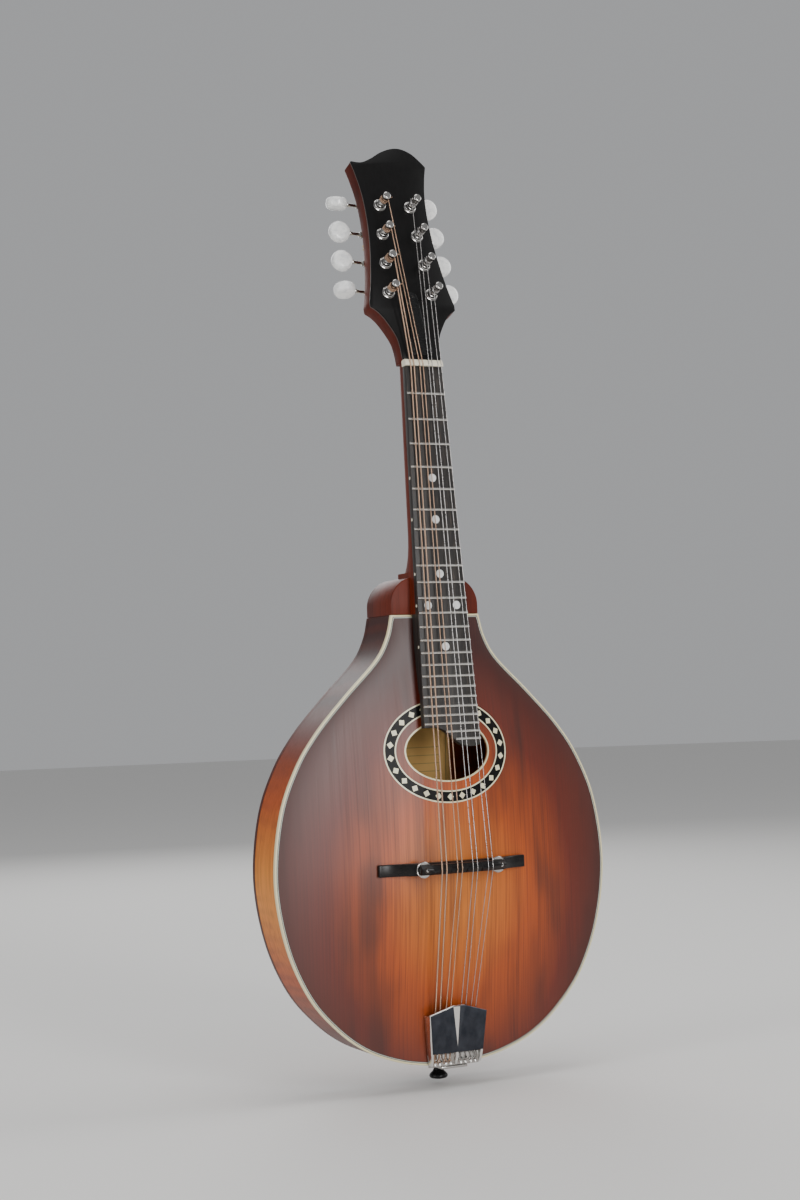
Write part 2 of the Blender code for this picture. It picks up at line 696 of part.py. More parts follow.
def worm_mesh():
    """Worm shaft on local z, away from the post: a right-hand V thread, with a crest on +x at z = 0."""
    steps, turns = 10, 2
    bm = bmesh.new()
    start = -WORM_PITCH * turns / 2
    profile = ((WORM_ROOT, -0.5), (WORM_RADIUS + TOOTH_REACH, 0), (WORM_ROOT, 0.5))
    verts = [bm.verts.new((radius, 0, start + WORM_PITCH * z)) for radius, z in profile]
    edges = [bm.edges.new(pair) for pair in zip(verts, verts[1:])]
    bmesh.ops.spin(
        bm, geom=verts + edges, cent=(0, 0, 0), axis=(0, 0, 1), angle=2 * math.pi * turns,
        steps=steps * turns, dvec=(0, 0, WORM_PITCH / steps),
    )
    bmesh.ops.remove_doubles(bm, verts=bm.verts, dist=1e-3)
    for end in (-1, 1):
        rim = [e for e in bm.edges if e.is_boundary and e.verts[0].co.z * end > 0]
        fan = bmesh.ops.extrude_edge_only(bm, edges=rim)["geom"]
        centre = (0, 0, end * (-start + WORM_PITCH * 0.2))
        points = [v for v in fan if isinstance(v, bmesh.types.BMVert)]
        bmesh.ops.pointmerge(bm, verts=points, merge_co=centre)
    thread = place("thread", finished(bm, "thread"), BODY, None)
    inner, outer = -EAR_PLACE - EAR_THICK / 2, BUTTON_REACH - BUTTON_RADIUS + 5.5
    return combine(rod("shaft", SHAFT_RADIUS, inner, outer, BODY, None, 10), [thread], "UNION")


def button_mesh():
    """Button turned about its own z, bored from -x for its shaft."""
    half = BUTTON_THICK / 2
    profile = (
        (0, half), (BUTTON_RADIUS * 0.72, half * 0.88), (BUTTON_RADIUS * 0.94, half * 0.55),
        (BUTTON_RADIUS, 0), (BUTTON_RADIUS * 0.94, -half * 0.55), (BUTTON_RADIUS * 0.72, -half * 0.88),
        (0, -half),
    )
    button = turned("button", profile, BODY, None, 14)
    bore = rod(
        "bore", SHAFT_RADIUS + GAP, -BUTTON_RADIUS - 3, -BUTTON_RADIUS + 6,
        Matrix.Rotation(math.pi / 2, 4, "Y"), None, 6,
    )
    return combine(button, [bore], "DIFFERENCE")


post_pattern, worm_pattern, button_pattern = post_mesh(), worm_mesh(), button_mesh()
# A worm's local z points outwards, and its local x towards the gear.
OUTWARDS = {
    1: Matrix.Rotation(math.pi / 2, 4, "Y"),
    -1: Matrix.Rotation(-math.pi / 2, 4, "Y") @ Matrix.Rotation(math.pi, 4, "Z"),
}


def tuner_number(side, k):
    """Strings are numbered from the bass side; the outer ones go to the lowest posts."""
    return k + 1 if side < 0 else 2 * POSTS - k


for side in (-1, 1):
    for k in range(POSTS):
        number = tuner_number(side, k)
        station = TUNER[side] @ Matrix.Translation((0, 0, k * POST_PITCH))
        post = place(
            f"string_post_{number}", post_pattern.data.copy(),
            station @ Matrix.Rotation(math.pi / 2, 4, "X"), "nickel",
        )
        axis = station @ Matrix.Translation((0, WORM_DEPTH, WORM_OFFSET)) @ OUTWARDS[side]
        worm = place(f"worm_shaft_{number}", worm_pattern.data.copy(), axis, "nickel")
        turn = math.radians(BUTTON_TURNS[side][k])
        # The button's local x runs outwards along the shaft, and its local z faces forwards.
        facing = (
            axis @ Matrix.Translation((0, 0, BUTTON_REACH)) @ Matrix.Rotation(turn, 4, "Z")
            @ Matrix.Rotation(math.pi / 2, 4, "X") @ Matrix.Rotation(math.pi / 2, 4, "Z")
        )
        place(f"tuner_button_{number}", button_pattern.data.copy(), facing, "pearl")
for pattern in (post_pattern, worm_pattern, button_pattern):
    bpy.data.objects.remove(pattern, do_unlink=True)

plate_front = HEAD_THICK + GAP
plate_back = plate_front + PLATE_THICK
for side, word in ((-1, "bass"), (1, "treble")):
    low, high = -PLATE_HALF, (POSTS - 1) * POST_PITCH + WORM_OFFSET + 5
    corner_cut = 2.0
    outline = [
        (-PLATE_HALF + corner_cut, low), (PLATE_HALF - corner_cut, low), (PLATE_HALF, low + corner_cut),
        (PLATE_HALF, high - corner_cut), (PLATE_HALF - corner_cut, high), (-PLATE_HALF + corner_cut, high),
        (-PLATE_HALF, high - corner_cut), (-PLATE_HALF, low + corner_cut),
    ]
    plate = column(
        f"tuner_plate_{word}", outline, level(plate_front), level(plate_back), "nickel", TUNER[side],
    )
    ears, holes = [], []
    for k in range(POSTS):
        height = k * POST_PITCH
        for way in (-1, 1):
            middle = way * EAR_PLACE
            ears.append(box(
                f"ear_{k}_{way}",
                (middle - EAR_THICK / 2, plate_front + 0.5, height + WORM_OFFSET - EAR_HALF),
                (middle + EAR_THICK / 2, WORM_DEPTH + EAR_HALF, height + WORM_OFFSET + EAR_HALF),
                None, TUNER[side],
            ))
        holes.append(rod(
            f"worm_hole_{k}", SHAFT_RADIUS + 0.25, -EAR_PLACE - 3, EAR_PLACE + 3,
            TUNER[side] @ Matrix.Translation((0, WORM_DEPTH, height + WORM_OFFSET)) @ OUTWARDS[side],
            None, 8,
        ))
        holes.append(rod(
            f"post_hole_{k}", POST_RADIUS + BUSH_PLAY, -plate_back - 1, -plate_front + 1,
            TUNER[side] @ Matrix.Translation((0, 0, height)) @ Matrix.Rotation(math.pi / 2, 4, "X"),
            None, 10,
        ))
    combine(plate, [joined("ears", ears)], "UNION")
    combine(plate, [joined("holes", holes)], "DIFFERENCE")


# ---------------------------------------------------------------- fingerboard and nut
def board_outline():
    """The fingerboard from above, with the swept end that runs further on the treble side."""
    bass, treble = board_half(BOARD_END), board_half(BOARD_END + BOARD_TONGUE)
    sweep = spline([
        (-bass * 0.5, -BOARD_END), (-bass * 0.2, -BOARD_END - BOARD_TONGUE * 0.25),
        (bass * 0.1, -BOARD_END - BOARD_TONGUE * 0.68), (treble * 0.4, -BOARD_END - BOARD_TONGUE * 0.94),
        (treble * 0.75, -BOARD_END - BOARD_TONGUE),
    ], 3)
    return [
        (-NUT_WIDTH / 2, 0), (-bass, -BOARD_END), *[tuple(p) for p in sweep],
        (treble, -BOARD_END - BOARD_TONGUE * 0.9), (NUT_WIDTH / 2, 0),
    ]


fingerboard = column("fingerboard", board_outline(), level(0), level(BOARD_THICK), "ebony", NECK)
fret_starts = {FULL_FRETS + 1: -0.24, FULL_FRETS + 2: 0.1}  # share of the half width, at the bass end
bars = []
for number in range(1, FRETS + 1):
    drop = fret_drop(number)
    half = board_half(drop) - 0.4
    start = half * fret_starts.get(number, -1)
    wide = FRET_WIDTH / 2
    bars.append(column(
        f"fret_{number}",
        [(start, -drop - wide), (half, -drop - wide), (half, -drop + wide), (start, -drop + wide)],
        lambda x, z, d=drop: -FRET_HEIGHT * (abs(z + d) < 0.1) - 0.02, level(0.6), None, NECK,
        cuts_z=(-drop,),
    ))
combine(fingerboard, [joined("frets", bars)], "UNION")

riser_half = board_half(-BODY_TOP) - 0.7
column(
    "fingerboard_riser",
    [(-riser_half, BODY_TOP - GAP), (riser_half, BODY_TOP - GAP),
     (riser_half, -RISER_END), (-riser_half, -RISER_END)],
    board_back, lambda x, z: top_face(x, z, -GAP), "neck",
    cuts_z=[z for z in Z_CUTS if z > -RISER_END + 1], cuts_x=[x for x in X_CUTS if abs(x) < riser_half],
)

nut_front = FRET_HEIGHT + STRING_LIFT - 0.2
nut_half = NUT_WIDTH / 2 + 0.4
column(
    "nut", [(-nut_half, GAP), (nut_half, GAP), (nut_half, NUT_LENGTH - GAP), (-nut_half, NUT_LENGTH - GAP)],
    lambda x, z: -nut_front + max(z - 1, 0) * 0.5, level(BOARD_THICK), "bone", NECK, cuts_z=(1.0,),
)


# ---------------------------------------------------------------- bridge
def base_front(x, z):
    """The bridge base's surface: level between the studs, and swept down to its tips."""
    level_half = STUD_PLACE + 4.5
    if abs(x) <= level_half:
        return -BASE_FRONT
    share = (abs(x) - level_half) / (BRIDGE_HALF - level_half)
    tip = top_face(BRIDGE_HALF, BRIDGE_Z) - 3.6
    return -BASE_FRONT + (tip + BASE_FRONT) * (1 - (1 - share) ** 2.2)


def bar(half, width, z=BRIDGE_Z):
    return [(-half, z - width / 2), (half, z - width / 2), (half, z + width / 2), (-half, z + width / 2)]


base_cuts = [BRIDGE_HALF * k / 8 for k in range(-7, 8)]
bridge_base = column(
    "bridge_base", bar(BRIDGE_HALF, BRIDGE_WIDTH), base_front, lambda x, z: top_face(x, z, -GAP),
    "ebony", cuts_x=base_cuts,
)
saddle_back = WHEEL_FRONT + GAP
saddle_front = STRING_BRIDGE - GAP - GAUGES[0]


def saddle_top(x, z):
    """The saddle's surface: a narrow crest with slopes beside it, lower over the studs."""
    slope = abs(z - BRIDGE_Z) > SADDLE_CREST / 2 + 0.1
    return -saddle_front + 1.2 * (abs(x) > STUD_PLACE - 4) + 1.4 * slope


saddle = column(
    "bridge_saddle", bar(SADDLE_HALF, SADDLE_WIDTH), saddle_top,
    level(-saddle_back), "ebony",
    cuts_x=(-STUD_PLACE + 4.5, -STUD_PLACE + 3.5, STUD_PLACE - 4.5, STUD_PLACE - 3.5),
    cuts_z=(BRIDGE_Z - SADDLE_CREST / 2, BRIDGE_Z + SADDLE_CREST / 2),
)
for side, word in ((-1, "bass"), (1, "treble")):
    # Each stud's own z points forwards, out of the top.
    stand = Matrix.Translation((side * STUD_PLACE, 0, BRIDGE_Z)) @ Matrix.Rotation(math.pi / 2, 4, "X")
    rod(f"bridge_stud_{word}", STUD_RADIUS, BASE_FRONT - 5.0, saddle_front - 1.8, stand, "nickel", 12)
    wheel = turned(
        f"thumbwheel_{word}",
        ((0, WHEEL_FRONT), (WHEEL_RADIUS - 0.4, WHEEL_FRONT), (WHEEL_RADIUS, WHEEL_FRONT - 0.4),
         (WHEEL_RADIUS, WHEEL_FRONT - WHEEL_THICK + 0.4), (WHEEL_RADIUS - 0.4, WHEEL_FRONT - WHEEL_THICK),
         (0, WHEEL_FRONT - WHEEL_THICK)),
        stand, "nickel", 16,
    )
    for part, slack in ((wheel, 0.1), (bridge_base, GAP), (saddle, 0.2)):
        low = BASE_FRONT - 5.0 - GAP if part is bridge_base else BASE_FRONT
        hole = rod(f"{part.name}_hole_{word}", STUD_RADIUS + slack, low, STRING_BRIDGE + 6, stand, None, 12)
        combine(part, [hole], "DIFFERENCE")


# ---------------------------------------------------------------- tailpiece and end pin
def tail_half(z):
    share = (TAIL_TOP - z) / (TAIL_TOP - TAIL_BOTTOM)
    return TAIL_HALF_TOP + (TAIL_HALF_BOTTOM - TAIL_HALF_TOP) * share


def cover_front(x, z):
    share = min(max((TAIL_TOP - z) / (TAIL_TOP - TAIL_BOTTOM), -0.2), 1)
    ridge = max(0, 1 - abs(x) / max(RIDGE_HALF * (1 - share * 1.35), 0.4)) * max(0, 1 - share * 1.3)
    return -TAIL_FRONT_TOP + (TAIL_FRONT_TOP - TAIL_FRONT_BOTTOM) * share - RIDGE_RISE * ridge


cover_low = TAIL_BOTTOM + TAIL_HOOK_BAND
cover_outline = [
    (-tail_half(TAIL_TOP), TAIL_TOP), (-RIDGE_HALF, TAIL_TOP + TAIL_PEAK),
    (RIDGE_HALF, TAIL_TOP + TAIL_PEAK),
    (tail_half(TAIL_TOP), TAIL_TOP), (tail_half(cover_low), cover_low), (-tail_half(cover_low), cover_low),
]
tailpiece = column(
    "tailpiece", cover_outline, cover_front,
    lambda x, z: cover_front(99, z) + TAIL_COVER, "nickel",
    cuts_x=(-RIDGE_HALF, -RIDGE_HALF / 2, 0, RIDGE_HALF / 2, RIDGE_HALF),
    cuts_z=(TAIL_TOP, TAIL_TOP - 12, TAIL_TOP - 20),
)
rib_half = 0.9


def floor_front(x, z):
    return top_face(x, z, -GAP - 1.6)


def rib(name, x_top, x_bottom, z_top):
    """A rib of the casting, from the cover down to its floor."""
    return column(
        name,
        [(x_bottom - rib_half, TAIL_BOTTOM), (x_bottom + rib_half, TAIL_BOTTOM),
         (x_top + rib_half, z_top), (x_top - rib_half, z_top)],
        lambda x, z: cover_front(99, z) + 0.4, lambda x, z: top_face(x, z, -GAP - 0.4), None,
        cuts_z=(cover_low,),
    )


ribs = [
    rib("rib_bass", -tail_half(TAIL_TOP) + rib_half, -tail_half(TAIL_BOTTOM) + rib_half, TAIL_TOP - 0.6),
    rib("rib_middle", 0, 0, TAIL_TOP - 12),
    rib("rib_treble", tail_half(TAIL_TOP) - rib_half, tail_half(TAIL_BOTTOM) - rib_half, TAIL_TOP - 0.6),
]
floor = column(
    "floor",
    [(-tail_half(TAIL_BOTTOM), TAIL_BOTTOM - 1.4), (tail_half(TAIL_BOTTOM), TAIL_BOTTOM - 1.4),
     (tail_half(cover_low), cover_low - 1), (-tail_half(cover_low), cover_low - 1)],
    floor_front, lambda x, z: top_face(x, z, -GAP), None,
)


def string_x(number, courses, pair):
    """x of a string, from the middles of the four courses and the spacing of a course's two strings."""
    group, member = divmod(number - 1, 2)
    return courses[group] + (member - 0.5) * pair


def spread(spacing, offset):
    """The middles of four courses, evenly spaced."""
    return [(group - 1.5) * spacing + offset for group in range(4)]


HOOK_Z = TAIL_BOTTOM + 3.0
hooks = [
    box(
        f"hook_{n}", (string_x(n, TAIL_COURSES, TAIL_PAIR) - 0.7, -6.0, HOOK_Z - 1.2),
        (string_x(n, TAIL_COURSES, TAIL_PAIR) + 0.7, -1.2, HOOK_Z), None,
    )
    for n in range(1, 9)
]
flange_half = 10.0
flange = box(
    "flange", (-flange_half, -1.5, TAIL_BOTTOM - 1.4 - FLANGE_THICK),
    (flange_half, FLANGE_DROP, BODY_BOTTOM - GAP), None,
)
lip = box(
    "lip", (-flange_half, -2.4, TAIL_BOTTOM - 1.4 - FLANGE_THICK), (flange_half, -0.6, TAIL_BOTTOM), None
)
combine(tailpiece, [*ribs, floor, flange, lip, joined("hooks", hooks)], "UNION")

pin_at = Matrix.Translation((0, PIN_PLACE, BODY_BOTTOM)) @ Matrix.Rotation(math.pi, 4, "X")
turned(
    "end_pin",
    ((0, PIN_LENGTH), (PIN_RADIUS - 0.8, PIN_LENGTH), (PIN_RADIUS, PIN_LENGTH - 1),
     (PIN_RADIUS - 0.4, PIN_LENGTH - 2.6), (3.2, 6.0), (3.2, 4.0), (5.4, GAP), (3.0, GAP),
     (3.0, -8.0), (0, -8.0)),
    pin_at, "plastic", 14,
)
for name, depth in (("rim", 6.0), ("tail_block", 12.0)):
    hole = rod(f"pin_hole_{name}", 3.0 + GAP, -depth, 2, pin_at, None, 14)
    combine(bpy.data.objects[name], [hole], "DIFFERENCE")


# ---------------------------------------------------------------- strings
def string_points(number):
    """A string's route: hook, tailpiece edge, saddle, nut, and its turns round the post."""
    radius = GAUGES[number - 1]
    side = -1 if number <= POSTS else 1
    k = number - 1 if side < 0 else 2 * POSTS - number
    tail_x = string_x(number, TAIL_COURSES, TAIL_PAIR)
    bridge_x = string_x(number, spread(BRIDGE_COURSE, BRIDGE_OFFSET), BRIDGE_PAIR)
    nut_x = string_x(number, spread(NUT_COURSE, NUT_OFFSET), NUT_PAIR)
    under = TAIL_COVER + GAP + radius
    edge = TAIL_TOP + TAIL_PEAK * min((TAIL_HALF_TOP - abs(tail_x)) / (TAIL_HALF_TOP - RIDGE_HALF), 1)
    nut_at = NECK @ Vector((nut_x, -FRET_HEIGHT - STRING_LIFT - radius, 0.6))
    station = TUNER[side] @ Matrix.Translation((0, 0, k * POST_PITCH))
    coil = POST_WAIST + GAP + radius
    high, step = -10.9, 2 * radius + 0.3
    start = station @ Vector((-side * coil, high, 0))
    lean = math.atan2(side * (start.x - nut_x), start.z - nut_at.z)
    winding = []
    for i in range(int(WINDING_TURNS * WINDING_STEPS) + 1):
        angle = lean + 2 * math.pi * i / WINDING_STEPS
        winding.append(station @ Vector((
            -side * coil * math.cos(angle), high + step * i / WINDING_STEPS, coil * math.sin(angle),
        )))
    return [
        Vector((tail_x, -4.4, HOOK_Z + GAP + radius)),
        Vector((tail_x, cover_front(99, cover_low) + under, cover_low - 0.5)),
        Vector((tail_x, cover_front(99, edge) + under, edge + 0.5)),
        Vector((bridge_x, -STRING_BRIDGE, BRIDGE_Z - SADDLE_CREST / 2)),
        nut_at, *winding,
    ]


for number, radius in enumerate(GAUGES, 1):
    curve = bpy.data.curves.new(f"string_{number}", "CURVE")
    curve.dimensions = "3D"
    curve.bevel_depth = radius * MM
    curve.bevel_resolution = 2
    curve.use_fill_caps = True
    points = string_points(number)
    path = curve.splines.new("POLY")
    path.points.add(len(points) - 1)
    for point, at in zip(path.points, points):
        point.co = (*(at * MM), 1)
    string = bpy.data.objects.new(f"string_{number}", curve)
    curve.materials.append(material(string.name, "bronze" if number <= 4 else "steel"))
    PARTS.objects.link(string)
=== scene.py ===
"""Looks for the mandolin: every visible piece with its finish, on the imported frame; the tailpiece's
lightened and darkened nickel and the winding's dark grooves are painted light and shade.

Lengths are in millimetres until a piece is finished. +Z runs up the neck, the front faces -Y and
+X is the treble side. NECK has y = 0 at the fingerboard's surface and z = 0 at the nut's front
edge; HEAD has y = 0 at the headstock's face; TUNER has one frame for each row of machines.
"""

from bisect import bisect
from math import atan, atan2, cos, dist, pi, radians, sin, sqrt, tan

import bmesh
import bpy
from mathutils import Matrix, Vector


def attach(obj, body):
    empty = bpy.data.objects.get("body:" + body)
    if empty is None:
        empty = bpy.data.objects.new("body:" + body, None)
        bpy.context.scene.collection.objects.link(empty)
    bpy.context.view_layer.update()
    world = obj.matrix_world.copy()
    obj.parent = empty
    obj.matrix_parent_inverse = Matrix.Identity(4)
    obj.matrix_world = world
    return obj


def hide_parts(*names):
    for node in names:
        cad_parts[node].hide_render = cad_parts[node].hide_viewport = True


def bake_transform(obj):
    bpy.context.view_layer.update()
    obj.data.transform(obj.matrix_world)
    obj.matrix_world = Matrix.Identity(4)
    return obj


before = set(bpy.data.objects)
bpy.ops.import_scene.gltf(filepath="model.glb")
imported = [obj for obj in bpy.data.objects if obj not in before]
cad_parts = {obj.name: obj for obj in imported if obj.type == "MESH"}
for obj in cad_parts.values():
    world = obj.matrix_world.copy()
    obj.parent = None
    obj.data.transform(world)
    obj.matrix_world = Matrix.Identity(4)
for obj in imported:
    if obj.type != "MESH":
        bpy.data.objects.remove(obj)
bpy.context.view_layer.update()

MM = 0.001

# ---------------------------------------------------------------- sizes shared with the frame
SCALE = 352.0
BODY_WIDTH = 254.0
BODY_TOP = -175.8
BODY_DEPTH = 42.0
OUTLINE = (
    (0, 0.268), (15, 0.298), (31, 0.37), (55, 0.56), (79, 0.735), (103, 0.862), (135, 0.96),
    (179, 1.0), (222, 0.947), (257, 0.829), (281, 0.672), (297, 0.507), (306.5, 0.325),
    (311, 0.157), (312.4, 0.0),
)
BODY_BOTTOM = BODY_TOP - OUTLINE[-1][0]
ARCH_CENTRE = -345.0
TOP_ARCH = 15.5
BACK_ARCH = 12.0
NECK_END_ARCH = 0.15
TOP_THICK = 4.5
BACK_THICK = 4.0
BINDING_WIDTH = 1.35
BINDING_DEPTH = 2.6
PURFLING = (("dark", 0.35), ("light", 0.5), ("dark", 0.4))
HOLE_DROP = 271.0
HOLE_HALF_WIDTH = 31.5
HOLE_HALF_HEIGHT = 20.5
HOLE_BINDING = 1.05
ROSETTE_MARGIN = 7.0
ROSETTE_LINE = 0.95
ROSETTE_BAND = 6.7
DIAMONDS = 26
DIAMOND_HALF = 2.45

NECK_ANGLE = radians(5.0)
NUT_FACE = 2.7
BOARD_THICK = 5.0
NUT_WIDTH = 28.6
BOARD_WIDTH_22 = 42.2
BOARD_END = 255.6
BOARD_TONGUE = 14.0
FRETS = 24
FULL_FRETS = 22
NECK_DEPTH = 20.5
NECK_DEPTH_HEEL = 22.5
HEEL_START = 116.0
HEEL_END = 147.0
SHOULDER_TOP = -149.2
SHOULDER_RADIUS = 20.0
NUT_LENGTH = 5.0
HEAD_ANGLE = radians(11.3)
HEAD_DROP = 1.0
HEAD_THICK = 13.0
VENEER = 1.8
HEAD_SIDE = ((0.0, 15.0), (12.0, 15.6), (20.0, 17.6), (31.0, 23.5), (37.0, 28.3),
             (40.5, 33.2), (44.0, 33.4), (58.0, 30.2), (72.0, 27.8), (92.0, 25.3),
             (113.0, 24.3), (132.0, 25.0), (147.0, 27.3), (158.5, 30.0))
HEAD_CROWN = ((-22.0, 158.3), (-14.0, 162.0), (-5.0, 168.0), (4.0, 171.8), (12.0, 172.3),
              (20.0, 169.0), (26.0, 163.3))
COVER_LENGTH = 50.0

POSTS = 4
POST_PITCH = 23.7
POST_FIRST = 52.1
POST_SPREAD = 16.9
POST_MIDDLE = -1.0
POST_TAPER = radians(3.9)
GEAR_RADIUS = 7.0
GEAR_TEETH = 15
GEAR_THICK = 3.2
WORM_RADIUS = 2.4
WORM_OFFSET = GEAR_RADIUS + WORM_RADIUS
WORM_PITCH = 2 * pi * GEAR_RADIUS / GEAR_TEETH
PLATE_FRONT = HEAD_THICK + 0.1
PLATE_THICK = 1.2
PLATE_HALF = 8.6
WORM_DEPTH = 19.2
BUTTON_REACH = 25.0
BUTTON_TURNS = {-1: (96, 3, -4, 74), 1: (8, 0, 4, 14)}

BRIDGE_Z = -SCALE * cos(NECK_ANGLE)
BRIDGE_HALF = 56.0
BRIDGE_WIDTH = 8.4
BASE_FRONT = TOP_ARCH + 7.0
STUD_PLACE = 28.3
STRING_BRIDGE = SCALE * sin(NECK_ANGLE) - NUT_FACE + 5.2 * cos(NECK_ANGLE)
SADDLE_WIDTH = 6.8
WHEEL_RADIUS = 5.7
KNURLS = 44
KNURL_DEPTH = 0.28

TAIL_TOP = -451.5
TAIL_PEAK = 5.5
PEAK_HALF = 4.6
TAIL_BOTTOM = -487.0
TAIL_HALF_TOP = 22.0
TAIL_HALF_BOTTOM = 19.2
TAIL_FRONT_TOP = 12.0
TAIL_FRONT_BOTTOM = 7.0
COVER_LOW = TAIL_BOTTOM + 8.5
PIN_PLACE = 24.0

GAUGES = (0.5, 0.5, 0.36, 0.36, 0.26, 0.26, 0.22, 0.22)
WOUND = 4


def about(axis, angle):
    return Matrix.Rotation(angle, 4, axis)


shift = Matrix.Translation
NECK = shift((0, NUT_FACE, 0)) @ about("X", -NECK_ANGLE)
HEAD = NECK @ shift((0, HEAD_DROP, NUT_LENGTH)) @ about("X", -HEAD_ANGLE)
TUNER = {
    side: HEAD
    @ shift((POST_MIDDLE + side * POST_SPREAD, 0, POST_FIRST))
    @ about("Y", -side * POST_TAPER)
    for side in (-1, 1)
}
BODY = Matrix.Identity(4)
FORWARDS = about("X", pi / 2)  # turns a shape's own z out of the front
OUTWARDS = {
    1: about("Y", pi / 2),
    -1: about("Y", -pi / 2) @ about("Z", pi),
}


# ---------------------------------------------------------------- shaders
def operator(operation):
    """The plain and the reflected form of an operator on a wire."""
    def plain(wire, other):
        return wire.math(operation, wire, other)

    def reflected(wire, other):
        return wire.math(operation, other, wire)

    return plain, reflected


class Wire:
    """A socket's value in a finish. Operators on it add Math nodes."""

    def __init__(self, finish, socket):
        self.finish, self.socket = finish, socket

    def math(self, operation, *values):
        return self.finish.node("Math", {"operation": operation}, dict(enumerate(values)))

    __add__, __radd__ = operator("ADD")
    __sub__, __rsub__ = operator("SUBTRACT")
    __mul__, __rmul__ = operator("MULTIPLY")
    __pow__, __rpow__ = operator("POWER")

    def modulo(self, period):
        return self.math("MODULO", self, period)

    def distance(self, value):
        return self.math("ABSOLUTE", self - value)


class Finish:
    """A named Principled material, with its constants on the shader's own sockets."""

    made = {}

    def __init__(self, name, colour, roughness, metallic=0.0, **sockets):
        self.material = bpy.data.materials.new(name)
        self.material.use_nodes = True
        self.tree = self.material.node_tree
        self.shader = self.tree.nodes["Principled BSDF"]
        self.shader.inputs["Base Color"].default_value = (*colour, 1)
        self.shader.inputs["Roughness"].default_value = roughness
        self.shader.inputs["Metallic"].default_value = metallic
        for key, value in sockets.items():
            self.shader.inputs[key.replace("_", " ")].default_value = value
        self.material.diffuse_color = (*colour, 1)
        Finish.made[name] = self

    def node(self, kind, settings=None, inputs=None, output=0):
        """A node of this kind: its settings are set first, then its sockets' values or links."""
        made = self.tree.nodes.new("ShaderNode" + kind)
        for key, value in (settings or {}).items():
            if key == "stops":
                stops = made.color_ramp.elements
                while len(stops) < len(value):
                    stops.new(1)
                for stop, (place, colour) in zip(stops, value):
                    stop.position = place
                    stop.color = (*colour, 1)
            else:
                setattr(made, key, value)
        for key, value in (inputs or {}).items():
            if isinstance(value, Wire):
                self.tree.links.new(value.socket, made.inputs[key])
            else:
                made.inputs[key].default_value = value
        return Wire(self, made.outputs[output])

    def feed(self, socket, wire):
        self.tree.links.new(wire.socket, self.shader.inputs[socket])

    def place(self, stretch=(1, 1, 1), turn=(0, 0, 0)):
        """The piece's own coordinates, stretched and turned."""
        at = self.node("TexCoord", output="Object")
        if stretch != (1, 1, 1):
            at = self.node("VectorMath", {"operation": "MULTIPLY"}, {0: at, 1: stretch})
        if turn != (0, 0, 0):
            at = self.node("Mapping", None, {"Vector": at, "Rotation": turn})
        return at

    def axis(self, letter):
        return self.node("SeparateXYZ", None, {"Vector": self.place()}, letter)

    def noise(self, scale, stretch=(1, 1, 1), detail=3.0, roughness=0.5, distortion=0.0):
        return self.node("TexNoise", None, {
            "Vector": self.place(stretch), "Scale": scale, "Detail": detail,
            "Roughness": roughness, "Distortion": distortion,
        })

    def bands(self, vector, **sockets):
        """Soft stripes stacked along z."""
        return self.node("TexWave", {"wave_type": "BANDS", "bands_direction": "Z"}, {
            "Vector": vector, **{key.replace("_", " "): value for key, value in sockets.items()},
        }, "Fac")

    def mix(self, share, start, end):
        """Colours mixed; each is a colour or a wire."""
        start, end = (c if isinstance(c, Wire) else (*c, 1) for c in (start, end))
        return self.node(
            "Mix", {"data_type": "RGBA", "blend_type": "MIX"}, {0: share, 6: start, 7: end}, 2
        )

    def span(self, wire, low, high):
        """0 below low, 1 above high, and smooth between them."""
        return self.node("MapRange", {"interpolation_type": "SMOOTHSTEP"}, {
            "Value": wire, "From Min": low, "From Max": high,
        })

    def surface(self, colour, roughness, height=None, strength=0.0, depth=0.0002):
        """Feeds what changes over the surface: its colour, its gloss and any relief."""
        self.feed("Base Color", colour)
        self.feed("Roughness", roughness)
        if height:
            self.feed("Normal", self.node(
                "Bump", None, {"Strength": strength, "Distance": depth, "Height": height}
            ))


AMBER = (0.60, 0.165, 0.012)
ORANGE = (0.40, 0.068, 0.004)
RUSSET = (0.115, 0.012, 0.003)
UMBER = (0.034, 0.005, 0.003)


def sunburst(paint, centre_z, half_x, half_z, stops, colours):
    """Stains that darken away from the burst's middle, as a share of its half sizes."""
    across = paint.axis("X") * (1 / half_x)
    along = (paint.axis("Z") - centre_z) * (1 / half_z)
    drift = (paint.noise(9, (1, 1, 0.5), 2) - 0.5) * 0.30
    away = (across * across + along * along) ** 0.5 + drift
    return paint.node("ValToRGB", {"stops": list(zip(stops, colours))}, {0: away})


def spruce_top():
    paint = Finish("top_sunburst", AMBER, 0.36, Coat_Weight=0.10, Coat_Roughness=0.34,
                   Specular_IOR_Level=0.42)
    burst = sunburst(
        paint, -0.368, 0.136, 0.172, (0.12, 0.42, 0.72, 0.98), (AMBER, ORANGE, RUSSET, UMBER)
    )
    grain = paint.noise(1, (950, 60, 9), 2, 0.6)
    streak = paint.span(paint.noise(1, (70, 20, 5), 3, 0.6), 0.50, 0.78)
    smudge = paint.span(paint.noise(1, (26, 10, 9), 2, 0.55), 0.48, 0.72)
    darker = paint.mix(paint.span(grain, 0.35, 0.75) * 0.5, burst, (0.06, 0.008, 0.002))
    cloudy = paint.mix(smudge * 0.7, darker, (0.04, 0.007, 0.003))
    streaked = paint.mix(streak * 0.55, cloudy, (0.022, 0.005, 0.002))
    paint.surface(streaked, 0.32 + grain * 0.12, grain, 0.12, 0.0003)


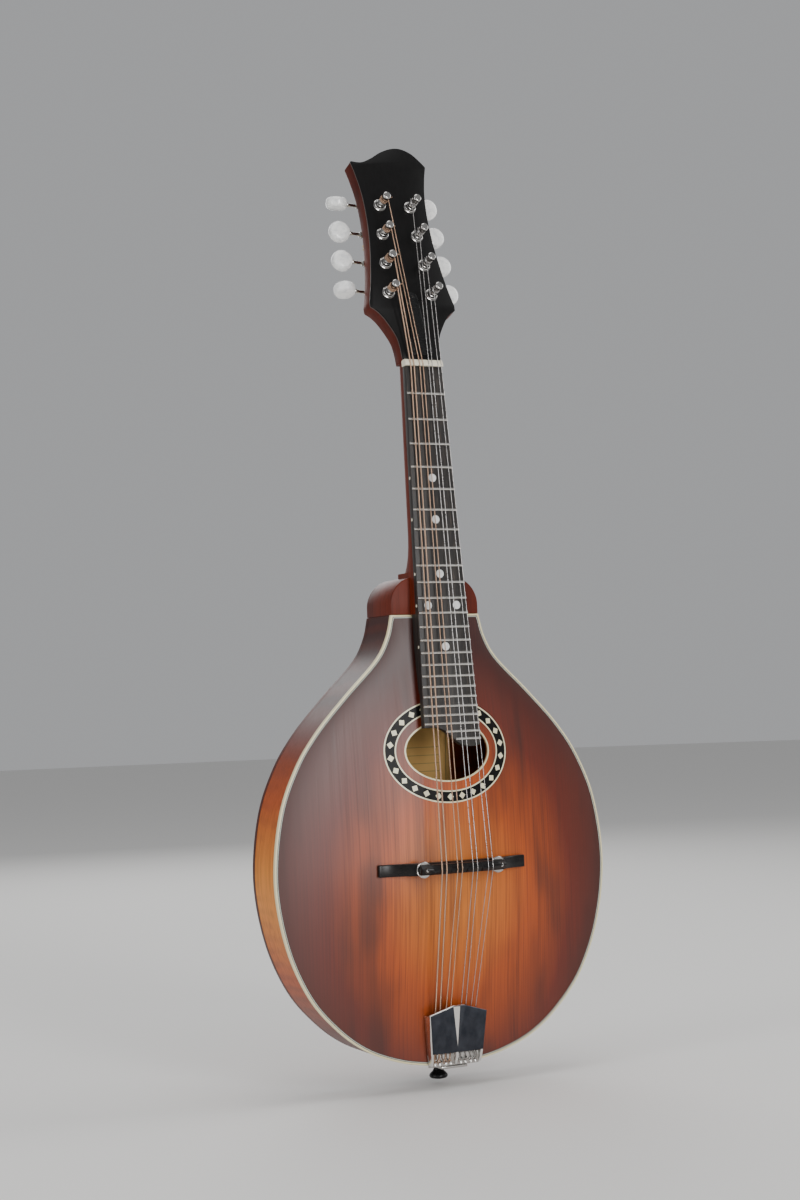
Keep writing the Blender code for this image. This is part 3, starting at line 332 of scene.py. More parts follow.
def maple(name, centre_z, half_z, half_x=10.0, light=AMBER, flame=0.5):
    """Stained maple with a flame across the grain, darker away from its middle."""
    paint = Finish(name, light, 0.38, Specular_IOR_Level=0.2)
    shade = sunburst(
        paint, centre_z, half_x, half_z, (0.10, 0.45, 0.78, 1.0), (light, ORANGE, RUSSET, UMBER)
    )
    curl = paint.bands(
        paint.place(turn=(0, 0.35, 0)), Scale=34.0, Distortion=3.2, Detail=2.0, Detail_Scale=1.2
    )
    grain = paint.noise(1, (500, 500, 14), 2, 0.6)
    fade = paint.span(paint.noise(22, (1, 1, 0.6), 2), 0.30, 0.70)
    figured = paint.mix(paint.span(curl, 0.15, 1.0) * fade * flame, shade, (0.10, 0.014, 0.004))
    grained = paint.mix(paint.span(grain, 0.4, 0.8) * 0.35, figured, (0.06, 0.012, 0.004))
    paint.surface(grained, 0.32 + grain * 0.12, grain, 0.08)


def neck_mahogany():
    paint = Finish("neck_stain", (0.085, 0.016, 0.008), 0.42, Specular_IOR_Level=0.18)
    grain = paint.noise(1, (420, 420, 12), 3, 0.6)
    cloud = paint.noise(18, (1, 1, 0.4), 2)
    base = paint.mix(paint.span(cloud, 0.3, 0.7), (0.060, 0.008, 0.004), (0.125, 0.016, 0.005))
    grained = paint.mix(paint.span(grain, 0.45, 0.75) * 0.5, base, (0.03, 0.007, 0.004))
    paint.surface(grained, 0.38 + grain * 0.14, grain, 0.10)


def plain_wood(
    name, colour, roughness, stretch, edges, tones, gloss, strength=0.0, coarse=0.6, **sockets
):
    """Fine grain in two tones: where it changes, and the gloss at its dark end and its rise."""
    paint = Finish(name, colour, roughness, **sockets)
    grain = paint.noise(1, stretch, 3, coarse)
    colour = paint.mix(paint.span(grain, *edges), *tones)
    paint.surface(colour, gloss[0] + grain * gloss[1], grain if strength else None, strength)


def black_satin():
    paint = Finish("black_face", (0.006, 0.006, 0.006), 0.38, Specular_IOR_Level=0.12)
    grain = paint.noise(1, (700, 700, 30), 2, 0.5)
    colour = paint.mix(grain * 0.6, (0.004, 0.004, 0.004), (0.009, 0.008, 0.008))
    paint.surface(colour, 0.30 + grain * 0.12, grain, 0.05, 0.0001)


def shaded(colour, shade):
    return tuple(shade * c for c in colour)


def cream(name, colour):
    paint = Finish(name, colour, 0.34, Coat_Weight=0.2, Coat_Roughness=0.2)
    cloud = paint.noise(60, detail=2)
    paint.surface(paint.mix(cloud, shaded(colour, 0.86), colour), 0.28 + cloud * 0.14)


def pearl(name, shade=1.0):
    """Pearl, with clouded flakes that differ a little in tone and in gloss."""
    paint = Finish(name, shaded((0.80, 0.80, 0.77), shade), 0.22, Coat_Weight=0.5, Coat_Roughness=0.08)
    flake = paint.node("TexVoronoi", {"feature": "SMOOTH_F1"}, {
        "Vector": paint.place(turn=(0.4, 0.3, 0.6)), "Scale": 300.0, "Smoothness": 0.6,
    }, "Distance")
    cloud = paint.noise(220, roughness=0.6, distortion=1.2)
    light, dim = shaded((0.86, 0.86, 0.84), shade), shaded((0.66, 0.67, 0.67), shade)
    paint.surface(
        paint.mix(paint.span(cloud + flake * 0.3, 0.35, 0.8), dim, light), 0.16 + cloud * 0.16
    )


def metal(name, colour, roughness):
    smear = 0.08
    paint = Finish(name, colour, roughness, 1.0)
    cloud = paint.noise(400, detail=2)
    paint.surface(
        paint.mix(cloud, shaded(colour, 0.88), colour), (roughness - smear / 2) + cloud * smear
    )


def wound_string():
    """Bronze winding: fine turns across the string's length, with painted shade darkening the grooves
    between turns.
    """
    paint = Finish("bronze_winding", (0.60, 0.40, 0.28), 0.34, 1.0)
    turns = paint.bands(paint.place(), Scale=560.0)
    # The dark end of this mix is painted shade in the grooves between turns.
    colour = paint.mix(turns, (0.28, 0.17, 0.11), (0.70, 0.48, 0.35))
    paint.surface(colour, 0.42 - turns * 0.14, turns, 0.4)


def brushed_nickel():
    """Nickel of the tail cover, with fine lines along its length; its colour is kept much darker than
    the other nickel, a painted dark reflection.
    """
    paint = Finish("nickel_cover_painted_dark", (0.12, 0.12, 0.13), 0.16, 1.0)
    lines = paint.noise(1, (160, 60, 110), 3, 0.6)
    colour = paint.mix(lines, (0.016, 0.019, 0.026), (0.085, 0.092, 0.110))
    paint.surface(colour, 0.09 + lines * 0.12)


def label_paper():
    """A plain paper label with a ruled border and ruled lines, and nothing written on it."""
    paint = Finish("label_paper", (0.80, 0.48, 0.15), 0.75)
    border_x, border_z, ruling = 0.0265, 0.0268, 0.0058
    x, z = paint.axis("X"), paint.axis("Z")
    from_side, from_middle = x.distance(0), z.distance(-0.271)

    def near(wire, inside, outside):
        return 1 - paint.span(wire, inside, outside)

    cloud = paint.noise(45)
    paper = paint.mix(cloud, (0.72, 0.42, 0.12), (0.92, 0.58, 0.20))
    rules = near((z + 0.4).modulo(ruling).distance(ruling / 2), 0.00012, 0.00035)
    ruled = near(from_side, 0.0215, 0.0220) * near(z.distance(-0.281), 0.0125, 0.0130)
    sides = near(from_side.distance(border_x), 0.0003, 0.0006) * near(from_middle, border_z, 0.027)
    ends = near(from_middle.distance(border_z), 0.0003, 0.0006) * near(from_side, border_x, 0.0267)
    ink = rules * ruled + sides + ends
    paint.feed("Base Color", paint.mix(ink * 0.55, paper, (0.14, 0.09, 0.03)))


def plain(name, colour, roughness, scale, dull, change, **sockets):
    """One colour, with a gloss that drifts a little."""
    paint = Finish(name, colour, roughness, **sockets)
    paint.feed("Roughness", dull + paint.noise(scale) * change)


spruce_top()
maple("rim_maple", -0.362, 0.135, light=(0.66, 0.22, 0.020), flame=0.45)
maple("back_maple", -0.350, 0.170, 0.135, flame=0.6)
neck_mahogany()
plain_wood("ebony_board", (0.022, 0.019, 0.017), 0.40, (900, 900, 16), (0.45, 0.8),
           ((0.016, 0.014, 0.013), (0.060, 0.045, 0.036)), (0.34, 0.2), 0.15, 0.65,
           Specular_IOR_Level=0.35)
plain_wood("ebony_bridge", (0.010, 0.009, 0.008), 0.26, (20, 800, 800), (0.5, 0.85),
           ((0.006, 0.005, 0.005), (0.018, 0.014, 0.011)), (0.22, 0.14), Specular_IOR_Level=0.25)
plain_wood("bare_wood", (0.42, 0.25, 0.11), 0.7, (350, 350, 18), (0.4, 0.75),
           ((0.46, 0.28, 0.13), (0.26, 0.14, 0.06)), (0.6, 0.2))
black_satin()
for name, colour in (
    ("cream_binding", (0.74, 0.66, 0.40)), ("purfling_light", (0.46, 0.47, 0.40)),
    ("face_edge", (0.10, 0.075, 0.065)), ("purfling_dark", (0.030, 0.022, 0.018)),
    ("bone_nut", (0.82, 0.76, 0.60)), ("diamond_inlay", (0.80, 0.74, 0.50)),
):
    cream(name, colour)
pearl("pearl_button")
pearl("pearl_dot", 0.9)
# The brightest nickel in this list is a lighter copy of the plain nickel: a painted highlight for the
# tailpiece's ribs, edge line, ridge face and hooks.
for name, colour, roughness in (
    ("nickel", (0.50, 0.485, 0.465), 0.12), ("nickel_painted_highlight", (0.86, 0.85, 0.82), 0.22),
    ("fret_wire", (0.66, 0.64, 0.60), 0.24), ("plain_steel", (0.46, 0.44, 0.43), 0.28),
    ("gear_brass", (0.62, 0.44, 0.20), 0.32), ("screw_steel", (0.55, 0.54, 0.52), 0.25),
):
    metal(name, colour, roughness)
wound_string()
brushed_nickel()
label_paper()
plain("black_plastic", (0.007, 0.007, 0.007), 0.26, 300, 0.2, 0.14, Specular_IOR_Level=0.25)
plain("hole_shadow", (0.02, 0.012, 0.008), 0.8, 80, 0.7, 0.2)


# ---------------------------------------------------------------- making pieces
def add(name, data):
    obj = bpy.data.objects.new(name, data)
    bpy.context.scene.collection.objects.link(obj)
    return obj


def piece(name, shapes, finish, body="body", nodes=(), sharp=35, bevel=()):
    """One finished piece from its shapes, riding on its body unless that is None."""
    whole = bmesh.new()
    for shape in shapes if isinstance(shapes, list) else [shapes]:
        mesh = bpy.data.meshes.new("shape")
        shape.to_mesh(mesh)
        shape.free()
        whole.from_mesh(mesh)
        bpy.data.meshes.remove(mesh)
    if bevel:
        width, segments = bevel
        whole.normal_update()
        edges = [
            edge for edge in whole.edges
            if len(edge.link_faces) == 2 and edge.calc_face_angle(0) > radians(sharp)
        ]
        bmesh.ops.bevel(
            whole, geom=edges, offset=width, offset_type="OFFSET", segments=segments, profile=0.5,
            affect="EDGES", clamp_overlap=True, material=-1,
        )
    bmesh.ops.scale(whole, vec=(MM, MM, MM), verts=whole.verts)
    mesh = bpy.data.meshes.new(name)
    whole.to_mesh(mesh)
    whole.free()
    mesh.shade_smooth()
    mesh.set_sharp_from_angle(angle=radians(sharp))
    mesh.materials.append(Finish.made[finish].material)
    obj = add(name, mesh)
    if body:
        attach(obj, body)
    if nodes:
        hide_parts(*nodes)
    return obj


def refinish(node, finish):
    """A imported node's own solid, kept and given a finish."""
    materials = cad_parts[node].data.materials
    materials.clear()
    materials.append(Finish.made[finish].material)


def settled(bm, matrix):
    """A shape with its doubles merged and its faces outwards, put in its place."""
    bmesh.ops.remove_doubles(bm, verts=bm.verts, dist=1e-4)
    bmesh.ops.recalc_face_normals(bm, faces=bm.faces)
    bmesh.ops.transform(bm, matrix=matrix, verts=bm.verts)
    return bm


def turned(profile, matrix, segments, ring=False):
    """Turned about its own z, from (radius, z) points from axis to axis, or round a ring's section."""
    bm = bmesh.new()
    verts = [bm.verts.new((r, 0, z)) for r, z in profile]
    edges = [bm.edges.new(pair) for pair in zip(verts, verts[1:] + verts[:1] if ring else verts[1:])]
    bmesh.ops.spin(
        bm, geom=verts + edges, cent=(0, 0, 0), axis=(0, 0, 1), angle=2 * pi,
        steps=segments, use_merge=True,
    )
    return settled(bm, matrix)


def disc(radius, high, low, matrix, segments):
    return turned([(0, high), (radius, high), (radius, low), (0, low)], matrix, segments)


def slab(outline, front, back, matrix=BODY, cuts_x=(), cuts_z=()):
    """A solid over an outline in x and z, between the surfaces y = front(x, z) and back(x, z)."""
    bm = bmesh.new()
    bm.faces.new([bm.verts.new((x, 0, z)) for x, z in outline])
    for axis, cuts in ((0, cuts_x), (2, cuts_z)):
        normal = Vector((axis == 0, 0, axis == 2))
        for cut in cuts:
            geometry = bm.verts[:] + bm.edges[:] + bm.faces[:]
            bmesh.ops.bisect_plane(bm, geom=geometry, plane_co=normal * cut, plane_no=normal, dist=1e-4)
    near = set(bm.verts)
    bmesh.ops.extrude_face_region(bm, geom=bm.faces[:], use_keep_orig=True)
    for vert in bm.verts:
        surface = front if vert in near else back
        vert.co.y = surface(vert.co.x, vert.co.z) if callable(surface) else surface
    return settled(bm, matrix)


def bar(section, low, high, matrix=BODY):
    """A prism with a section in y and z, from x = low to high."""
    bm = bmesh.new()
    bm.faces.new([bm.verts.new((low, y, z)) for y, z in section])
    made = bmesh.ops.extrude_face_region(bm, geom=bm.faces[:], use_keep_orig=True)["geom"]
    ends = [v for v in made if isinstance(v, bmesh.types.BMVert)]
    bmesh.ops.translate(bm, vec=(high - low, 0, 0), verts=ends)
    return settled(bm, matrix)


def block(low, high, matrix=BODY):
    bm = bmesh.new()
    size = Vector(high) - Vector(low)
    middle = (Vector(high) + Vector(low)) / 2
    bmesh.ops.create_cube(bm, size=1, matrix=shift(middle) @ Matrix.Diagonal((*size, 1)))
    return settled(bm, matrix)


def ring_edges(bm, points):
    verts = [bm.verts.new(point) for point in points]
    return [bm.edges.new(pair) for pair in zip(verts, verts[1:] + verts[:1])]


def band_shape(rings):
    """A closed band through four or more rings of equal counts, the last joined to the first."""
    bm = bmesh.new()
    loops = [ring_edges(bm, ring) for ring in rings]
    for near, far in zip(loops, loops[1:] + loops[:1]):
        bmesh.ops.bridge_loops(bm, edges=near + far)
    return settled(bm, BODY)


def lofted(sections, matrix=BODY):
    """A solid through closed sections of equal counts."""
    bm = bmesh.new()
    loops = [ring_edges(bm, section) for section in sections]
    for near, far in zip(loops, loops[1:]):
        bmesh.ops.bridge_loops(bm, edges=near + far)
    for loop in (loops[0], loops[-1]):
        bmesh.ops.contextual_create(bm, geom=loop)
    return settled(bm, matrix)


def wire(points, radius, sides=10):
    """A round wire through points."""
    points = [Vector(p) for p in points]
    across = None
    sections = []
    for i, point in enumerate(points):
        along = (points[min(i + 1, len(points) - 1)] - points[max(i - 1, 0)]).normalized()
        if across is None:
            across = along.orthogonal().normalized()
        across = (across - along * across.dot(along)).normalized()
        other = along.cross(across)
        sections.append([
            point + radius * (across * cos(a) + other * sin(a))
            for a in (2 * pi * k / sides for k in range(sides))
        ])
    return lofted(sections)


def spline(points, steps):
    """A smooth open curve through points, as steps points for each span."""
    ends = [Vector(p) for p in points]
    ends = [2 * ends[0] - ends[1], *ends, 2 * ends[-1] - ends[-2]]
    found = []
    for a, b, c, d in zip(ends, ends[1:], ends[2:], ends[3:]):
        for i in range(steps):
            t = i / steps
            found.append(
                0.5 * (2 * b + (c - a) * t + (2 * a - 5 * b + 4 * c - d) * t * t
                       + (3 * b - a - 3 * c + d) * t ** 3)
            )
    return [*found, ends[-2]]


# ---------------------------------------------------------------- the body's shape
FINE_OUTLINE = [(x * BODY_WIDTH / 2, BODY_TOP - drop) for drop, x in spline(OUTLINE, 12)]
FINE_HEIGHTS = [-z for x, z in FINE_OUTLINE]


def half_width(z):
    i = min(max(bisect(FINE_HEIGHTS, -z), 1), len(FINE_OUTLINE) - 1)
    (x0, z0), (x1, z1) = FINE_OUTLINE[i - 1], FINE_OUTLINE[i]
    share = (z - z0) / (z1 - z0)
    return max(x0 + (x1 - x0) * min(max(share, 0), 1), 0.001)


def swell(x, z):
    across = min(abs(x) / half_width(z), 1)
    if z > ARCH_CENTRE:
        along = ((z - ARCH_CENTRE) / (BODY_TOP - ARCH_CENTRE)) ** 1.6
        least = NECK_END_ARCH
    else:
        along = (ARCH_CENTRE - z) / (ARCH_CENTRE - BODY_BOTTOM)
        least = 0
    along = least + (1 - least) * (1 + cos(pi * min(max(along, 0), 1))) / 2
    return along * (1 + cos(pi * across)) / 2


def top_face(x, z, below=0.0):
    return below - TOP_ARCH * swell(x, z)


def top_raised(above):
    return lambda x, z: top_face(x, z, -above)


def back_face(x, z, below=0.0):
    return BODY_DEPTH + BACK_ARCH * swell(x, z) - below


def half_outline(inset, count=90):
    """The treble half of the body's outline, this far inside its edge, from the neck end down."""
    curve = [Vector(p) for p in FINE_OUTLINE]
    lengths = [0]
    for a, b in zip(curve, curve[1:]):
        lengths.append(lengths[-1] + (b - a).length)
    found = []
    for k in range(count + 1):
        target = lengths[-1] * k / count
        i = min(max(bisect(lengths, target), 1), len(curve) - 1)
        share = (target - lengths[i - 1]) / (lengths[i] - lengths[i - 1])
        point = curve[i - 1].lerp(curve[i], share)
        along = curve[min(i + 1, len(curve) - 1)] - curve[max(i - 2, 0)]
        inward = Vector((along.y, -along.x)).normalized()
        if k == count:
            inward = Vector((0, 1))
        found.append(point + inward * inset)
    return [(max(x, 0.0), z) for x, z in found]


def mirrored(half):
    return half + [(-x, z) for x, z in reversed(half[:-1])]


def closed_outline(inset):
    """The whole outline with its neck end closed by a straight run, drawn in by the inset."""
    half = [(x, min(z, BODY_TOP - inset)) for x, z in half_outline(inset)]
    top = [(half[0][0] * s, BODY_TOP - inset) for s in (0.0, 0.34, 0.67)]
    right = top + half
    return right + [(-x, z) for x, z in reversed(right[1:-1])]


def on_surface(outline, surface, below):
    return [(x, surface(x, z, below), z) for x, z in outline]


def level_ring(outline, y):
    return [(x, y, z) for x, z in outline]


def ellipse(margin, count=144, turn=0.0):
    return [
        (
            (HOLE_HALF_WIDTH + margin) * cos(2 * pi * k / count + turn),
            (HOLE_HALF_HEIGHT + margin) * sin(2 * pi * k / count + turn) - HOLE_DROP,
        )
        for k in range(count)
    ]


def plate(inner, outer, face, thick, rings, fill=False):
    """An arched plate between two rings of equal counts, with its thickness behind its face."""
    bm = bmesh.new()
    near = ring_edges(bm, level_ring(inner, 0))
    far = ring_edges(bm, level_ring(outer, 0))
    spokes = bmesh.ops.bridge_loops(bm, edges=near + far)["edges"]
    bmesh.ops.subdivide_edges(bm, edges=spokes, cuts=rings, use_grid_fill=True)
    if fill:
        bmesh.ops.contextual_create(bm, geom=near)
    front = set(bm.verts)
    bmesh.ops.extrude_face_region(bm, geom=bm.faces[:], use_keep_orig=True)
    for vert in bm.verts:
        vert.co.y = face(vert.co.x, vert.co.z, 0 if vert in front else thick)
    return settled(bm, BODY)


def matched(outline, centre_z, half_x, half_z):
    """A small ellipse with one point for each point of an outline, at the same angles."""
    angles = [atan2((z - centre_z) / half_z, x / half_x) for x, z in outline]
    return [(half_x * cos(a), centre_z + half_z * sin(a)) for a in angles]


# ---------------------------------------------------------------- body pieces
purfled = BINDING_WIDTH + sum(width for _, width in PURFLING)
top_edge = closed_outline(purfled - 0.05)
hole_edge = matched(
    top_edge, -HOLE_DROP, HOLE_HALF_WIDTH + HOLE_BINDING, HOLE_HALF_HEIGHT + HOLE_BINDING
)
piece("top_board", plate(hole_edge, top_edge, top_face, TOP_THICK, 44), "top_sunburst",
      nodes=["top_plate"])
back_edge = closed_outline(0.05)
back_middle = matched(back_edge, -330, 10, 10)
piece("back_board", plate(back_middle, back_edge, back_face, BACK_THICK, 30, True), "back_maple",
      nodes=["back_plate"])

edge_round = 0.45
piece("body_binding", band_shape([
    level_ring(closed_outline(0.02), BINDING_DEPTH),
    level_ring(closed_outline(0.0), edge_round),
    level_ring(closed_outline(0.14), 0.13),
    level_ring(closed_outline(edge_round), 0.0),
    on_surface(closed_outline(BINDING_WIDTH), top_face, 0.0),
    level_ring(closed_outline(BINDING_WIDTH), BINDING_DEPTH),
]), "cream_binding", nodes=["top_binding"])
inset = BINDING_WIDTH
LINE_DEPTH = 0.6
for number, (tone, width) in enumerate(PURFLING, 1):
    corners = ((inset, LINE_DEPTH), (inset, -0.01), (inset + width, -0.01), (inset + width, LINE_DEPTH))
    piece(f"purfling_{number}", band_shape([
        on_surface(closed_outline(place), top_face, below) for place, below in corners
    ]), f"purfling_{tone}")
    inset += width

rim_outer, rim_inner = mirrored(half_outline(0.12)), mirrored(half_outline(2.5))
rim_outline = rim_outer + rim_inner[::-1]
piece("rim_bend", slab(rim_outline, BINDING_DEPTH + 0.02, BODY_DEPTH - BACK_THICK + 0.3), "rim_maple",
      nodes=["rim"])


def hole_ring(inner, outer, front, back):
    return band_shape([
        on_surface(ellipse(margin), top_face, below)
        for margin, below in ((inner, back), (inner, front), (outer, front), (outer, back))
    ])


piece("hole_binding", hole_ring(0, HOLE_BINDING + 0.05, -0.02, 1.3), "cream_binding",
      nodes=["soundhole_binding"])
band_start = ROSETTE_MARGIN + ROSETTE_LINE
band_end = band_start + ROSETTE_BAND
piece("rosette_lines", [
    hole_ring(ROSETTE_MARGIN, band_start, -0.04, 0.8),
    hole_ring(band_end, band_end + ROSETTE_LINE, -0.04, 0.8),
], "diamond_inlay")
piece("rosette_band", hole_ring(band_start - 0.02, band_end + 0.02, -0.03, 0.8), "black_face",
      nodes=["rosette"])


def even_ellipse(margin, count):
    """(x, z, direction) at evenly spaced places round the soundhole, from just beside its foot."""
    steps = 2400
    fine = ellipse(margin, steps, -pi / 2)
    lengths = [0]
    for a, b in zip(fine, fine[1:] + fine[:1]):
        lengths.append(lengths[-1] + dist(a, b))
    found = []
    for k in range(count):
        i = bisect(lengths, lengths[-1] * ((k - 0.1) % count) / count) - 1
        a, b = fine[i % steps], fine[(i + 1) % steps]
        found.append((*a, atan2(b[1] - a[1], b[0] - a[0])))
    return found


diamonds = []
for x, z, turn in even_ellipse((band_start + band_end) / 2, DIAMONDS):
    corners = [
        (x + DIAMOND_HALF * cos(angle), z + DIAMOND_HALF * sin(angle))
        for angle in (turn + k * pi / 2 for k in range(4))
    ]
    diamonds.append(slab(corners, top_raised(0.06), top_raised(-LINE_DEPTH)))
piece("rosette_diamonds", diamonds, "diamond_inlay")

LABEL = [(-30, -302), (30, -302), (30, -240), (-30, -240)]
piece("label", slab(
    LABEL,
    lambda x, z: back_face(x, z, BACK_THICK + 0.5), lambda x, z: back_face(x, z, BACK_THICK + 0.2),
    cuts_x=range(-24, 25, 6), cuts_z=range(-296, -240, 7),
), "label_paper")
for node in ("top_lining", "back_lining", "neck_block", "tail_block", "top_brace"):
    refinish(node, "bare_wood")


# ---------------------------------------------------------------- neck and headstock
def fret_drop(number):
    return SCALE * (1 - 2 ** (-number / 12))


def board_half(drop):
    share = drop / fret_drop(FULL_FRETS)
    return (NUT_WIDTH + (BOARD_WIDTH_22 - NUT_WIDTH) * share) / 2


def neck_depth(drop):
    depth = NECK_DEPTH + (NECK_DEPTH_HEEL - NECK_DEPTH) * min(drop / HEEL_START, 1)
    full = (BODY_DEPTH - 0.6 - NUT_FACE) / cos(NECK_ANGLE) + HEEL_END * tan(NECK_ANGLE)
    if drop > HEEL_START:
        share = min((drop - HEEL_START) / (HEEL_END - HEEL_START), 1)
        depth += (full - depth) * (1 - sqrt(1 - share * share))
    if drop < 0:
        depth += drop * 0.3
    return depth


def shaft_section(drop, steps=36):
    half = board_half(max(drop, 0)) - 0.05
    top = BOARD_THICK
    depth = neck_depth(drop)
    side = top + 2.5
    curve = [
        (half * cos(pi * k / steps), side + (depth - side) * sin(pi * k / steps))
        for k in range(steps + 1)
    ]
    return [(x, y, -drop) for x, y in [(half, top), *curve, (-half, top)]]


shaft_drops = [-13, -10, -7, -3, 0, 30, 60, 90, *(
    HEEL_START + (HEEL_END - HEEL_START) * sin(pi / 2 * k / 16) for k in range(17)
), 160]
shoulder_half = OUTLINE[0][1] * BODY_WIDTH / 2 - 0.1
shoulder_outline = [(shoulder_half, BODY_TOP + 0.1), *(
    (shoulder_half - SHOULDER_RADIUS * (1 - cos(a)), SHOULDER_TOP - SHOULDER_RADIUS * (1 - sin(a)))
    for a in (pi / 2 * k / 20 for k in range(21))
)]


def board_back(_, z):
    return NUT_FACE + (z * sin(NECK_ANGLE) + BOARD_THICK + 0.05) / cos(NECK_ANGLE)


pedestal_half = board_half(-SHOULDER_TOP) - 0.1
pedestal_outline = [
    (-pedestal_half, SHOULDER_TOP + 3), (pedestal_half, SHOULDER_TOP + 3),
    (pedestal_half + 0.6, BODY_TOP), (-pedestal_half - 0.6, BODY_TOP),
]


def head_outline():
    """The headstock's outline, smooth along its sides and crown, with its two sharp ears."""
    ear, steps = 6, 8
    lower = [tuple(p) for p in spline([(half, z) for z, half in HEAD_SIDE[:ear]], steps)]
    upper = [tuple(p) for p in spline([(half, z) for z, half in HEAD_SIDE[ear:]], steps)]
    side = lower + upper
    crown = [tuple(p) for p in spline([(-side[-1][0], side[-1][1]), *HEAD_CROWN, side[-1]], steps)]
    whole = side + crown[::-1][1:-1] + [(-x, z) for x, z in reversed(side)]
    return [(x, z + 0.2) for x, z in whole]


piece("neck_shaft", lofted([shaft_section(drop) for drop in shaft_drops], NECK), "neck_stain",
      nodes=["neck"], sharp=40)
shoulder_outline += [(-x, z) for x, z in reversed(shoulder_outline)]
piece("neck_shoulder", slab(shoulder_outline, 0.5, BODY_DEPTH - 0.3), "neck_stain",
      sharp=40, bevel=(0.7, 3))
piece("neck_pedestal", slab(pedestal_outline, board_back, 20), "neck_stain")
face_back, wood_front = VENEER - 0.5, VENEER + 0.05
piece("head_wood", slab(head_outline(), wood_front, HEAD_THICK, HEAD), "neck_stain",
      sharp=50, bevel=(0.5, 2))
piece("head_face", slab(head_outline(), 0, face_back, HEAD), "black_face",
      nodes=["headstock_veneer"], sharp=50, bevel=(0.25, 2))
piece("head_underlay", slab(head_outline(), face_back, wood_front, HEAD), "face_edge",
      sharp=50)
refinish("truss_rod", "screw_steel")

cover_half = ((0, 8.4), (5, 8.5), (11, 7.7), (17, 6.3), (24, 5.3), (33, 4.7), (COVER_LENGTH - 6, 4.3),
              (COVER_LENGTH - 2.2, 3.2), (COVER_LENGTH - 0.6, 1.6), (COVER_LENGTH, 0))
cover_side = [tuple(p) for p in spline([(x, z + 3.0) for z, x in cover_half], 4)]
COVER_FACE = -1.6
piece("rod_cover", slab(mirrored(cover_side), COVER_FACE, 0.02, HEAD), "black_plastic",
      nodes=["truss_rod_cover"], bevel=(0.35, 3))


def screw(matrix, radius, height):
    """A small round screw head, its top at z = height."""
    dome = [(radius * cos(a), height * sin(a)) for a in (pi / 2 * k / 5 for k in range(5))]
    return turned([(0, height), *reversed(dome), (radius, -0.5), (0, -0.5)], matrix, 20)


def screws(names, places, finish, radius, height):
    """Screw heads, with the dark cross on each as a piece of its own."""
    half, wide = radius * 0.6, radius * 0.16
    low, high = height - 0.25, height + 0.02
    crosses = [
        block((-x, -y, low), (x, y, high), at) for at in places for x, y in ((half, wide), (wide, half))
    ]
    piece(names[0], [screw(at, radius, height) for at in places], finish)
    piece(names[1], crosses, "hole_shadow")


screws(("cover_screws", "cover_screw_slots"), [
    HEAD @ shift((x, COVER_FACE, z)) @ FORWARDS for x, z in ((0, 49.2), (-5.6, 7.4), (5.6, 7.4))
], "black_plastic", 1.2, 0.45)


# ---------------------------------------------------------------- fingerboard, frets and nut
def board_outline():
    bass, treble = board_half(BOARD_END), board_half(BOARD_END + BOARD_TONGUE)
    sweep = spline([
        (-bass * 0.5, -BOARD_END), (-bass * 0.2, -BOARD_END - BOARD_TONGUE * 0.25),
        (bass * 0.1, -BOARD_END - BOARD_TONGUE * 0.68), (treble * 0.4, -BOARD_END - BOARD_TONGUE * 0.94),
        (treble * 0.75, -BOARD_END - BOARD_TONGUE),
    ], 10)
    return [
        (-NUT_WIDTH / 2, -0.05), (-bass, -BOARD_END), *[tuple(p) for p in sweep],
        (treble, -BOARD_END - BOARD_TONGUE * 0.9), (NUT_WIDTH / 2, -0.05),
    ]


piece("board", slab(board_outline(), 0, BOARD_THICK, NECK), "ebony_board", nodes=["fingerboard"],
      bevel=(0.3, 2))
fret_starts = {FULL_FRETS + 1: -0.24, FULL_FRETS + 2: 0.1}
fret_section = [(0.3, -1.0), (-0.3, -0.95), (-0.72, -0.65), (-0.95, -0.22), (-0.95, 0.22), (-0.72, 0.65),
                (-0.3, 0.95), (0.3, 1.0)]
frets = []
for number in range(1, FRETS + 1):
    drop = fret_drop(number)
    half = board_half(drop) - 0.15
    frets.append(bar(
        [(y, z - drop) for y, z in fret_section], half * fret_starts.get(number, -1), half, NECK
    ))
piece("frets", frets, "fret_wire", sharp=50)
dot_places = [(0, 5), (0, 7), (0, 10), (-11, 12), (11, 12), (0, 15)]
dots, side_dots = [], []
for x, number in dot_places:
    middle = -(fret_drop(number) + fret_drop(number - 1)) / 2
    dots.append(disc(2.9, 0.03, -1, NECK @ shift((x, 0, middle)) @ FORWARDS, 28))
    if x <= 0:
        edge = -board_half(-middle) - 0.03
        side_dots.append(disc(1.1, 0, -1, NECK @ shift((edge, 2.4, middle)) @ OUTWARDS[-1], 18))
piece("board_dots", dots, "pearl_dot")
piece("side_dots", side_dots, "bone_nut")
riser_half, riser_end = board_half(-BODY_TOP) - 0.7, -231
piece("riser", slab(
    [(-riser_half, BODY_TOP - 0.1), (riser_half, BODY_TOP - 0.1), (riser_half, riser_end),
     (-riser_half, riser_end)],
    board_back, top_raised(-0.1), cuts_x=range(-16, 17, 4), cuts_z=range(-228, -178, 6),
), "ebony_board", nodes=["fingerboard_riser"])


def spread(spacing, offset):
    return [(group - 1.5) * spacing + offset for group in range(4)]


def string_x(number, courses, pair):
    group, member = divmod(number - 1, 2)
    return courses[group] + (member - 0.5) * pair


